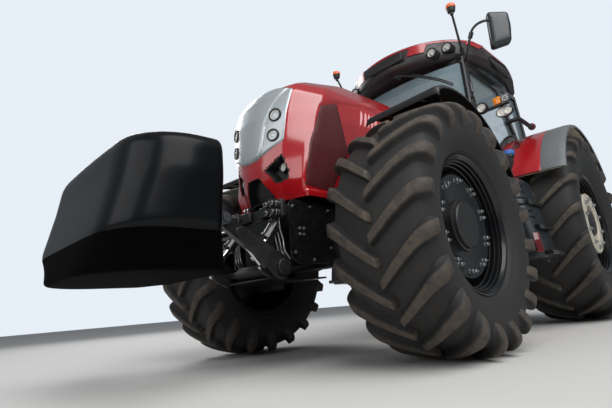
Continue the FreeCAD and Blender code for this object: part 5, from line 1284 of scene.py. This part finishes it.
class TRACTOR_OT_cab(bpy.types.Operator):
    """Tubes along the front posts, door seals and handles, wiper and grab bars"""
    bl_idname = "tractor.cab"
    bl_label = "Cab fittings"

    def execute(self, context):
        z = np.linspace(1.44, 2.955, 30)
        post = np.column_stack([door_x(z) + 0.062, side_y(z, -0.004), z])
        inner = np.column_stack([door_x(z) + 0.022, side_y(z), z])
        pair("post_tubes_{side}", merge(tube(post, 0.023, 18), tube(inner, 0.013, 14)), "post")
        self.doors()
        bar = [(ra(1.44), 0.835, 1.86), (ra(1.46), 0.900, 1.90), (ra(1.40), 0.895, 2.14),
               (ra(1.365), 0.880, 2.38), (ra(1.34), 0.815, 2.42)]
        pair("grab_bar_{side}", tube(smooth_line(bar, 40), 0.012, 14), "black")
        self.wiper()
        return {"FINISHED"}

    def doors(self):
        """Seal round each pane, an oval bead carried along its edge; lock case and outside handle."""
        edge = [(door_x(1.52) - 0.045, 1.52), (door_x(2.82) - 0.045, 2.82), (ra(0.395), 2.82)]
        arch = [(REAR_AXLE + DOOR_ARCH_R * math.cos(a), REAR_AXLE_Z + DOOR_ARCH_R * math.sin(a))
                for a in np.radians(np.linspace(81.5, 24.0, 24))]
        ring = around(edge + arch, 300, 0.05)
        path = np.column_stack([ring[:, 0], side_y(ring[:, 1], 0.001), ring[:, 1]])
        along = np.roll(path, -1, axis=0) - np.roll(path, 1, axis=0)
        along /= np.linalg.norm(along, axis=1)[:, None]
        out = np.array([0.0, 1.0, SIDE_LEAN]) / math.hypot(1.0, SIDE_LEAN)
        across = np.cross(along, out)
        loops = [path + 0.012 * math.cos(a) * across + 0.007 * math.sin(a) * out
                 for a in np.linspace(0.0, 2.0 * np.pi, 8, endpoint=False)]
        pair("door_seal_{side}", nested(loops, wrap=True), "seal", "door_{side}", smooth=60.0)
        hand = [(ra(0.34), 0.852, 2.02), (ra(0.35), 0.885, 2.05), (ra(0.36), 0.890, 2.16), (ra(0.37), 0.845, 2.20)]
        lock = rounded_box([ra(0.30), 0.820, 1.96], [ra(0.42), 0.862, 2.06], 0.012)
        pair("door_handle_{side}", merge(tube(smooth_line(hand, 24), 0.011, 12), lock), "trim", "door_{side}")

    def wiper(self):
        """Arm that thins toward its end, its blade along the outer part, and its hub."""
        line = smooth_line([(ra(1.655), 0.16, 2.875), (ra(1.66), 0.25, 2.842), (ra(1.65), 0.43, 2.748),
                            (ra(1.62), 0.65, 2.604), (ra(1.59), 0.76, 2.508)], 40)
        arm = tube(line, np.linspace(0.011, 0.006, 40), 10)
        blade = tube(line[16:] + [0.0, 0.014, 0.012], 0.008, 8)
        hub = lathe([(-0.06, 0.0), (-0.06, 0.018), (0.02, 0.018), (0.024, 0.0)], (ra(1.64), 0.16, 2.875), 24, "x")
        mesh_piece("wiper", merge(arm, blade, hub), "trim")


# Front fender: radius about the axle and degrees up from the front
FENDER_LINE = [(0.862, 76.5), (0.882, 76.6), (0.902, 77.4), (0.914, 79.5), (0.928, 84.0), (0.940, 92.0),
               (0.950, 103.0), (0.950, 120.0), (0.950, 140.0), (0.944, 155.0)]
# across, and how far the edge dips there
FENDER_SECTION = [(0.735, 0.020), (0.742, 0.006), (0.76, 0.0), (0.85, 0.0), (0.98, 0.0), (1.10, 0.0), (1.22, 0.0),
                  (1.300, 0.0), (1.322, 0.004), (1.335, 0.014), (1.340, 0.030)]
# degrees up from the front that the rear arches start and end at
ARCH_ENDS = (25.0, 145.0)
# ribs of the tank and box: from this share of their height, depth, pitch
RIBS_FROM, RIB_DEPTH, RIB_PITCH = 0.42, 0.015, 0.062


class TRACTOR_OT_fenders(bpy.types.Operator):
    """Front fenders with turned-down edges on brackets, rear arches with band, lining and lamps"""
    bl_idname = "tractor.fenders"
    bl_label = "Fenders"

    def execute(self, context):
        self.front()
        self.brackets()
        self.rear()
        self.rear_lamps()
        return {"FINISHED"}

    def front(self):
        """Fender line swept across the wheel: edges dip, and the rear inner corner is drawn outward."""
        line = smooth_line(FENDER_LINE, 60)
        radius, bearing = line[:, :1], line[:, 1:]
        y, dip = np.array(FENDER_SECTION).T
        r = radius - dip * step(radius, 0.84, 0.88)
        angle = np.radians(bearing) - 0.058 * (y - y[0]) / 0.6 * step(110.0 - bearing, 0.0, 30.0)
        clear = 0.165 * step(bearing, 112.0, 150.0) * np.clip((y[-1] - y) / 0.6, 0.0, 1.0)
        points = np.stack([FRONT_AXLE + r * np.cos(angle), y + clear, FRONT_AXLE_Z + r * np.sin(angle)], -1)
        pair("fender_skin_{side}", solid_sheet(points, 0.006), "trim", "knuckle_{s}", ("front_fender_{side}",), 40.0)

    def brackets(self):
        """Tube frame under each fender, from the king pin's top, with two clamps."""
        x = FRONT_AXLE - 0.03
        riser = [(FRONT_AXLE, 0.80, 1.086), (FRONT_AXLE, 0.715, 1.12), (FRONT_AXLE - 0.02, 0.705, 1.35),
                 (x, 0.720, 1.66), (x, 0.78, 1.728), (x, 1.22, 1.728)]
        a = np.radians(np.linspace(80.0, 130.0, 24))
        r = np.interp(np.degrees(a), [80, 90, 102, 155], [0.900, 0.916, 0.928, 0.926])
        parts = [tube(smooth_line(riser, 50), 0.021, 14),
                 rounded_box([FRONT_AXLE - 0.07, 0.70, 1.077], [FRONT_AXLE + 0.07, 0.91, 1.097], 0.006)]
        for y in (0.86, 1.14):
            hoop = np.column_stack([FRONT_AXLE + r * np.cos(a), np.full(24, y), FRONT_AXLE_Z + r * np.sin(a)])
            parts.append(tube(hoop, 0.013, 12))
            parts.append(rounded_box([FRONT_AXLE - 0.075, y - 0.035, 1.700], [FRONT_AXLE + 0.02, y + 0.035, 1.765],
                                     0.008))
        pair("fender_bracket_{side}", merge(*parts), "black", "knuckle_{s}", ("front_fender_{side}",), 34.0)

    def rear(self):
        """Arch skin from the cab wall out to the band; the band's edge is rolled inward."""
        angle = np.radians(np.linspace(*ARCH_ENDS, 80))[:, None]

        def sweep(section, thickness):
            """Sheet of (across, radius) points carried round the axle."""
            y, r = np.array(section).T
            points = np.stack(np.broadcast_arrays(REAR_AXLE + r * np.cos(angle), y,
                                                  REAR_AXLE_Z + r * np.sin(angle)), -1)
            return solid_sheet(points, thickness)

        red = [(0.730, 1.1295), (0.760, 1.1300), (0.90, 1.1345), (1.05, 1.1380), (1.20, 1.1350), (1.235, 1.1340),
               (1.2485, 1.1300)]
        band = [(1.2515, 1.1310), (1.262, 1.1350), (1.34, 1.1350), (1.41, 1.1320), (1.45, 1.1260), (1.466, 1.1180),
                (1.470, 1.1050), (1.466, 1.0960)]
        lining = [(0.76, 1.1190), (1.24, 1.1190), (1.44, 1.1180)]
        pair("arch_red_{side}", sweep(red, 0.014), "red", replaces=("rear_fenders",), smooth=40.0)
        pair("arch_band_{side}", sweep(band, 0.009), "band", replaces=("fender_bands",), smooth=40.0)
        pair("arch_lining_{side}", sweep(lining, 0.005), "lining", smooth=40.0)
        wall_r = np.linspace(0.622, 1.122, 8)
        wall_a = np.radians(np.linspace(*ARCH_ENDS, 60))[:, None]
        points = np.stack(np.broadcast_arrays(REAR_AXLE + wall_r * np.cos(wall_a), 0.742,
                                              REAR_AXLE_Z + wall_r * np.sin(wall_a)), -1)
        pair("arch_wall_{side}", solid_sheet(points, 0.014), "trim", replaces=("rear_fenders",), smooth=30.0)

    def rear_lamps(self):
        """Tail lamp on a bent arm behind each side window, and a flat lens let into the arch."""
        post = [(ra(0.311), 0.78, 2.400), (ra(0.290), 0.93, 2.410), (ra(0.240), 0.95, 2.410),
                (ra(-0.157), 0.95, 2.410)]
        pair("rear_lamp_arm_{side}", tube(smooth_line(post, 30), 0.026, 20), "trim")
        knob = [(-0.05, 0.0), (-0.045, 0.030), (-0.020, 0.044), (0.010, 0.045), (0.035, 0.030), (0.045, 0.0)]
        pair("rear_lamp_{side}", lathe(knob, (ra(-0.19), 0.95, 2.425), 32, "x"), "dark_red")
        angle = np.radians(np.linspace(48.0, 72.0, 24))[:, None]
        slant = np.linspace(0.0, 0.035, 24)[:, None]
        radius = 1.1435
        points = np.stack(np.broadcast_arrays(REAR_AXLE + radius * np.cos(angle),
                                              np.linspace(0.925, 1.035, 8) + slant,
                                              REAR_AXLE_Z + radius * np.sin(angle)), -1)
        pair("arch_lens_{side}", solid_sheet(points, 0.008), "dark_red", smooth=40.0)


class TRACTOR_OT_flanks(bpy.types.Operator):
    """Ribbed tank and battery box with rounded front corners, treads, and the filler cap on its neck"""
    bl_idname = "tractor.flanks"
    bl_label = "Tank, box and steps"

    def execute(self, context):
        for node in ("fuel_tank", "battery_box"):
            low, high = corners_of(node)
            y0, y1 = sorted((abs(low[1]), abs(high[1])))
            shape = self.shell(low[0], high[0], y0, y1, low[2], 1.43)
            mesh_piece(node + "_shell", shape if node == "fuel_tank" else mirrored(shape), "tank",
                       replaces=(node,), smooth=34.0)
        strip = turned_box([-0.006, -0.030, -0.090], [0.006, 0.030, 0.090], 0.004,
                           (high[0] + 0.007, y1 + 0.074, 0.775), 45.0, -6.5)
        pair("side_reflector_{side}", strip, "dark_red")
        self.steps()
        self.filler()
        return {"FINISHED"}

    def shell(self, x0, x1, y0, y1, z0, z1):
        """Stacked plan outlines: the outer side leans out toward the foot, ribs run round the front."""
        heights = np.concatenate([[z0, z0 + 0.01, z0 + 0.03], np.linspace(z0 + 0.05, z1 - 0.05, 120),
                                  [z1 - 0.02, z1 - 0.005, z1]])
        middle = np.array([(x0 + x1) / 2.0, (y0 + y1) / 2.0])
        loops = []
        for z in heights:
            share = (z - z0) / (z1 - z0)
            edge = 0.02 * (1.0 - min(1.0, (z - z0) / 0.03)) + 0.03 * (1.0 - min(1.0, (z1 - z) / 0.04))
            groove = 0.0
            if share > RIBS_FROM:
                groove = RIB_DEPTH * max(0.0, math.cos((z - z0) * 2.0 * math.pi / RIB_PITCH)) ** 4
            out = y1 + 0.115 - 0.125 * share - edge
            front = x1 + 0.030 - edge
            flat = around([(x0 + edge, y0 + edge), (front, y0 + edge), (front, out - 0.05), (front - 0.05, out),
                           (x0 + edge + 0.02, out), (x0 + edge, out - 0.02)], 120, 0.06)
            inset = groove * (flat[:, 0] > x1 - 0.16) * (flat[:, 1] > y0 + 0.1)
            way = (flat - middle) / np.linalg.norm(flat - middle, axis=1)[:, None]
            loops.append(np.column_stack([flat - way * inset[:, None], np.full(len(flat), z)]))
        return capped(loops)

    def filler(self):
        """Bent neck with a collar, and the cap: rings whose radius waves sixteen times round."""
        foot, head = np.array([ra(1.490), 1.075, 1.415]), np.array([ra(1.555), 1.150, 1.600])
        bend = [foot, foot + [0.004, 0.006, 0.06], head - [0.012, 0.012, 0.06], head]
        collar = [(-0.012, 0.0), (-0.012, 0.047), (0.006, 0.049), (0.012, 0.046), (0.014, 0.0)]
        mesh_piece("filler_neck", merge(tube(smooth_line(bend, 24), 0.036, 28), lathe(collar, head, 40, "z")), "trim")
        turn = np.radians(np.linspace(0.0, 360.0, 96, endpoint=False))
        rings = []
        for z, r, grip in ((0.012, 0.046, 0.0), (0.014, 0.052, 0.6), (0.048, 0.051, 0.6), (0.056, 0.046, 0.3),
                           (0.060, 0.034, 0.0), (0.063, 0.02, 0.0)):
            radius = r + grip * 0.003 * np.cos(turn * 16.0)
            rings.append(np.column_stack([radius * np.cos(turn), radius * np.sin(turn), np.full(96, z)]) + head)
        mesh_piece("filler_cap", capped(rings), "blue", replaces=("tank_cap",))

    def steps(self):
        """Treads of cross bars in a frame, each lower one reaching further out."""
        parts = []
        x0, x1, y0 = ra(1.140), ra(1.500), 1.180
        for z, y1 in ((0.660, 1.330), (0.900, 1.270), (1.140, 1.220)):
            parts.append(rounded_box([x0, y0, z], [x0 + 0.014, y1, z + 0.040], 0.004))
            parts.append(rounded_box([x1 - 0.014, y0, z], [x1, y1, z + 0.040], 0.004))
            parts.append(rounded_box([x0, y1 - 0.014, z], [x1, y1, z + 0.040], 0.005))
            bars = max(1, int((y1 - y0) / 0.032))
            for k in range(bars):
                y = y0 + (k + 0.5) * (y1 - y0 - 0.014) / bars
                parts.append(rounded_box([x0 + 0.010, y - 0.009, z + 0.008], [x1 - 0.010, y + 0.009, z + 0.032],
                                         0.004))
        pair("steps_{side}", merge(*parts), "black", replaces=("cab_steps",), smooth=34.0)


# Front lift: arms' pivot (x, z), the arms' direction and square to it, cylinders' and pipes' sizes
ARM_PIVOT = np.array([FRONT_AXLE + 0.770, 0.660])
ARM_ALONG = np.array([math.cos(math.radians(33.0)), math.sin(math.radians(33.0))])
ARM_UP = np.array([-ARM_ALONG[1], ARM_ALONG[0]])
CYLINDER_Y = 0.225
PIPE_R = 0.0075


class TRACTOR_OT_linkage(bpy.types.Operator):
    """Front linkage details: arm cheeks and bosses, strut, cover plates, couplers and pipes"""
    bl_idname = "tractor.linkage"
    bl_label = "Front linkage"

    def execute(self, context):
        self.arms()
        self.covers()
        self.block()
        self.cylinders()
        return {"FINISHED"}

    def plate(self, outline, middle, sections):
        """Plate square to Y: the outline (x, z) at each (y, share of it about the middle)."""
        loops = []
        for y, share in sections:
            ring = middle + (outline - middle) * share
            loops.append(np.column_stack([ring[:, 0], np.full(len(ring), y), ring[:, 1]]))
        return capped(loops)

    def arms(self):
        """Cheek with a sunken middle on each arm, the boss and lug at its pivot, and a bright strut."""
        outline = [(-0.070, -0.02), (-0.045, -0.070), (0.02, -0.078), (0.16, -0.060), (0.40, -0.045),
                   (0.43, 0.0), (0.40, 0.045), (0.16, 0.066), (0.02, 0.078), (-0.045, 0.070), (-0.070, 0.02)]
        flat = np.array([ARM_PIVOT + a * ARM_ALONG + b * ARM_UP for a, b in outline])
        cheek = self.plate(around(flat, 90, 0.03), flat.mean(axis=0),
                           ((0.300, 1.0), (0.326, 1.0), (0.330, 0.985), (0.330, 0.90), (0.327, 0.87), (0.327, 0.3)))
        boss = [(0.300, 0.0), (0.300, 0.052), (0.345, 0.052), (0.350, 0.047), (0.350, 0.030), (0.356, 0.028),
                (0.356, 0.0)]
        lug = ARM_PIVOT + [(-0.02, -0.062), (0.10, -0.060), (0.165, 0.0), (0.140, 0.030), (0.06, 0.0),
                           (-0.02, -0.01)]
        parts = [cheek, lathe(boss, (ARM_PIVOT[0], 0.0, ARM_PIVOT[1]), 40), prism(around(lug, 40, 0.02), 0.272, 0.286)]
        mesh_piece("arm_cheeks", both(merge(*parts)), "iron", "lift_arms", smooth=32.0)
        top, low = ARM_PIVOT + 0.385 * ARM_ALONG - 0.02 * ARM_UP, ARM_PIVOT + [0.150, 0.006]
        line = np.array([(top[0], 0.300, top[1]), (low[0], 0.290, low[1])])
        eyes = [lathe([(-0.012, 0.0), (-0.012, 0.021), (0.012, 0.021), (0.012, 0.0)], end, 24) for end in line]
        mesh_piece("arm_struts", both(merge(tube(line, 0.0105, 14), *eyes)), "chrome", "lift_arms", smooth=32.0)

    def covers(self):
        """Flat cover plate on each side of the frame's nose, with its bolts, and the skid under it."""
        outline = [(0.250, 0.760), (0.250, 1.120), (0.640, 1.140), (0.690, 1.110), (0.690, 0.720), (0.620, 0.680),
                   (0.320, 0.690)]
        flat = around([(FRONT_AXLE + x, z) for x, z in outline], 120, 0.035)
        cover = self.plate(flat, flat.mean(axis=0), ((0.325, 0.99), (0.334, 1.0), (0.338, 0.992), (0.338, 0.2)))
        mesh_piece("nose_covers", both(cover), "black", smooth=32.0)
        bolts = [hex_nut((FRONT_AXLE + x, 0.337, z), 0.018, 0.010)
                 for x, z in ((0.290, 0.80), (0.290, 1.085), (0.480, 1.095), (0.655, 1.085), (0.655, 0.76),
                              (0.480, 0.71), (0.560, 0.93), (0.600, 0.93), (0.560, 0.89), (0.600, 0.89))]
        mesh_piece("nose_bolts", both(merge(*bolts)), "steel", smooth=25.0)
        skid = [(0.28, 0.600), (0.62, 0.590), (0.80, 0.604), (0.80, 0.594), (0.62, 0.578), (0.28, 0.588)]
        path = [(FRONT_AXLE + x, z) for x, z in skid]
        mesh_piece("nose_skid", prism(path, -0.255, 0.255), "black", smooth=30.0, bevel=0.003)

    def block(self):
        """Coupler block on the frame's front: valve body, four couplers with rings, steel pipes."""
        x = FRONT_AXLE + 0.700
        body = merge(rounded_box([x, 0.185, 1.010], [x + 0.045, 0.325, 1.135], 0.010),
                     rounded_box([x, 0.060, 1.040], [x + 0.030, 0.185, 1.120], 0.008))
        mesh_piece("coupler_block", both(body), "iron", smooth=32.0)
        # distance forward, and radius
        coupler = [(0.0, 0.0), (0.0, 0.022), (0.030, 0.022), (0.034, 0.018), (0.060, 0.018), (0.063, 0.015),
                   (0.063, 0.009), (0.050, 0.008), (0.050, 0.0)]
        ring = [(0.0, 0.019), (0.0, 0.025), (0.010, 0.025), (0.010, 0.019)]
        for name, profile, at, finish in (("couplers", coupler, x + 0.044, "steel"),
                                          ("coupler_rings", ring, x + 0.082, "trim")):
            made = [lathe(profile, (at, y, z), 28, "x") for y in (0.222, 0.288) for z in (1.043, 1.103)]
            mesh_piece(name, both(merge(*made)), finish, smooth=32.0)
        pipes = []
        for k, y in enumerate((0.205, 0.235, 0.265)):
            line = [(x + 0.020, y, 1.012), (x + 0.022, y, 0.94), (x + 0.020 - 0.006 * k, y + 0.01, 0.86),
                    (x + 0.006, y + 0.02, 0.78), (x - 0.03, y + 0.03, 0.72)]
            pipes.append(tube(smooth_line(line, 36), PIPE_R, 12))
        for y in (0.10, 0.14):
            line = [(x + 0.012, y, 1.118), (x + 0.010, y, 1.150), (x - 0.04, y, 1.158), (x - 0.14, y, 1.156)]
            pipes.append(tube(smooth_line(line, 28), PIPE_R, 12))
        mesh_piece("linkage_pipes", both(merge(*pipes)), "steel", smooth=40.0)

    def cylinders(self):
        """Gland rings and ports on the lift cylinders, placed along the line from base to rod's eye."""
        base, eye = np.array([FRONT_AXLE + 0.680, 1.030]), ARM_PIVOT + 0.160 * ARM_ALONG
        way = (eye - base) / np.linalg.norm(eye - base)
        parts = []
        for start, end, radius in ((0.195, 0.222, 0.047), (0.040, 0.060, 0.046), (0.120, 0.128, 0.044)):
            a, b = base + way * start, base + way * end
            parts.append(tube([(a[0], CYLINDER_Y, a[1]), (b[0], CYLINDER_Y, b[1])], radius, 32))
        for at in (0.055, 0.185):
            spot = base + way * at
            parts.append(rounded_box([spot[0] + 0.030, CYLINDER_Y - 0.013, spot[1] - 0.013],
                                     [spot[0] + 0.062, CYLINDER_Y + 0.013, spot[1] + 0.013], 0.006))
        mesh_piece("cylinder_glands", both(merge(*parts)), "black", "lift_barrels", smooth=32.0)


class TRACTOR_OT_finishes(bpy.types.Operator):
    """Gives every carried-over node the finish of the real piece"""
    bl_idname = "tractor.finishes"
    bl_label = "Node finishes"

    def execute(self, context):
        make_finishes(context.scene.tractor_colours)
        for finish, names in NODE_FINISHES.items():
            for name in names.split():
                for side, _ in SIDES:
                    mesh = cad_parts[name.format(side=side)].data
                    mesh.materials.clear()
                    mesh.materials.append(FINISHES[finish][1])
        return {"FINISHED"}


# Camera of the photograph: place in metres, focal length on a 36 mm wide frame, degrees
CAMERA_PLACE = (3.9035, 2.422, 0.390)
FOCAL_MM = 24.76
YAW, PITCH, ROLL = 224.64, 13.73, -4.88
FLOOR_HALF = 60.0
# Lamp: place, what it is aimed at, watts, size
LAMPS = {
    "key": ((3.0, 6.5, 8.0), (0.0, 0.5, 1.2), 1000.0, 9.0),
    "front": ((9.5, 0.5, 4.5), (1.0, 0.0, 1.2), 210.0, 6.0),
    "back": ((-1.0, -8.5, 7.0), (0.0, 0.0, 1.5), 420.0, 5.0)}


class TRACTOR_OT_stage(bpy.types.Operator):
    """Pale floor, soft studio light and the camera at the photograph's view"""
    bl_idname = "tractor.stage"
    bl_label = "Stage"

    def execute(self, context):
        self.floor(context.scene)
        self.studio(context.scene)
        for name, lamp in LAMPS.items():
            self.lamp(context.scene, name, *lamp)
        self.camera(context.scene)
        context.scene.view_settings.view_transform = "Standard"
        return {"FINISHED"}

    def floor(self, scene):
        mesh = bpy.data.meshes.new("floor")
        r = FLOOR_HALF
        mesh.from_pydata([(-r, -r, 0.0), (r, -r, 0.0), (r, r, 0.0), (-r, r, 0.0)], [], [(0, 1, 2, 3)])
        floor = bpy.data.objects.new("floor", mesh)
        scene.collection.objects.link(floor)
        pale = new_material("pale_floor", {"Base Color": (0.62, 0.61, 0.59, 1.0), "Roughness": 0.9})[0]
        mesh.materials.append(pale)

    def studio(self, scene):
        """Soft sky light on the object; the camera, and what is seen through glass, get a pale backdrop."""
        world = bpy.data.worlds.new("studio")
        world.use_nodes = True
        tree = world.node_tree
        tree.nodes.clear()
        rays = add(tree, "ShaderNodeLightPath")
        seen = add(tree, "ShaderNodeMath", {"operation": "MAXIMUM"},
                   links={0: (rays, "Is Camera Ray"), 1: (rays, "Is Transmission Ray")})
        light = add(tree, "ShaderNodeBackground", values={"Color": (0.86, 0.92, 1.0, 1.0), "Strength": 0.27})
        back = add(tree, "ShaderNodeBackground", values={"Color": (0.80, 0.86, 0.93, 1.0), "Strength": 1.0})
        mixed = add(tree, "ShaderNodeMixShader",
                    links={0: (seen, "Value"), 1: (light, "Background"), 2: (back, "Background")})
        add(tree, "ShaderNodeOutputWorld", links={"Surface": (mixed, "Shader")})
        scene.world = world

    def lamp(self, scene, name, spot, aim, power, size):
        """Square area lamp whose face is turned from its place to its aim."""
        data = bpy.data.lights.new(name, "AREA")
        data.energy = power
        data.shape = "SQUARE"
        data.size = size
        lamp = bpy.data.objects.new(name, data)
        lamp.location = spot
        lamp.rotation_euler = (Vector(aim) - Vector(spot)).to_track_quat("-Z", "Y").to_euler()
        scene.collection.objects.link(lamp)

    def camera(self, scene):
        """Camera whose axes come from yaw and pitch, then rolled about its line of sight."""
        eye = bpy.data.cameras.new("photo_view")
        eye.lens = FOCAL_MM
        eye.sensor_width = 36.0
        eye.clip_end = 200.0
        yaw, pitch, roll = (math.radians(a) for a in (YAW, PITCH, ROLL))
        forward = np.array([math.cos(pitch) * math.cos(yaw), math.cos(pitch) * math.sin(yaw), math.sin(pitch)])
        right = np.array([math.sin(yaw), -math.cos(yaw), 0.0])
        up = np.cross(right, forward)
        matrix = np.eye(4)
        matrix[:3, 0] = math.cos(roll) * right + math.sin(roll) * up
        matrix[:3, 1] = -math.sin(roll) * right + math.cos(roll) * up
        matrix[:3, 2] = -forward
        matrix[:3, 3] = CAMERA_PLACE
        camera = bpy.data.objects.new("photo_view", eye)
        camera.matrix_world = Matrix(matrix.tolist())
        scene.collection.objects.link(camera)
        scene.camera = camera


class TRACTOR_PT_panel(bpy.types.Panel):
    """Lists the steps and the sizes"""
    bl_label = "Farm tractor"
    bl_idname = "TRACTOR_PT_panel"
    bl_space_type = "VIEW_3D"
    bl_region_type = "UI"
    bl_category = "Tractor"

    def draw(self, context):
        for group in (context.scene.tractor_sizes, context.scene.tractor_colours):
            for key in group.__annotations__:
                self.layout.prop(group, key)
        for operator in STEPS:
            self.layout.operator(operator.bl_idname)


STEPS = [TRACTOR_OT_finishes, TRACTOR_OT_tyres, TRACTOR_OT_wheels, TRACTOR_OT_hood, TRACTOR_OT_mask,
         TRACTOR_OT_weight, TRACTOR_OT_roof, TRACTOR_OT_mirrors, TRACTOR_OT_pillar_lamps, TRACTOR_OT_cab,
         TRACTOR_OT_fenders, TRACTOR_OT_flanks, TRACTOR_OT_linkage, TRACTOR_OT_stage]
CLASSES = [TractorSizes, TractorColours, *STEPS, TRACTOR_PT_panel]


def register():
    for cls in CLASSES:
        bpy.utils.register_class(cls)
    bpy.types.Scene.tractor_sizes = bpy.props.PointerProperty(type=TractorSizes)
    bpy.types.Scene.tractor_colours = bpy.props.PointerProperty(type=TractorColours)


def unregister():
    del bpy.types.Scene.tractor_colours
    del bpy.types.Scene.tractor_sizes
    for cls in reversed(CLASSES):
        bpy.utils.unregister_class(cls)


def main():
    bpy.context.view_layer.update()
    register()
    for operator in STEPS:
        group, name = operator.bl_idname.split(".")
        getattr(getattr(bpy.ops, group), name)()


if __name__ == "__main__":
    main()
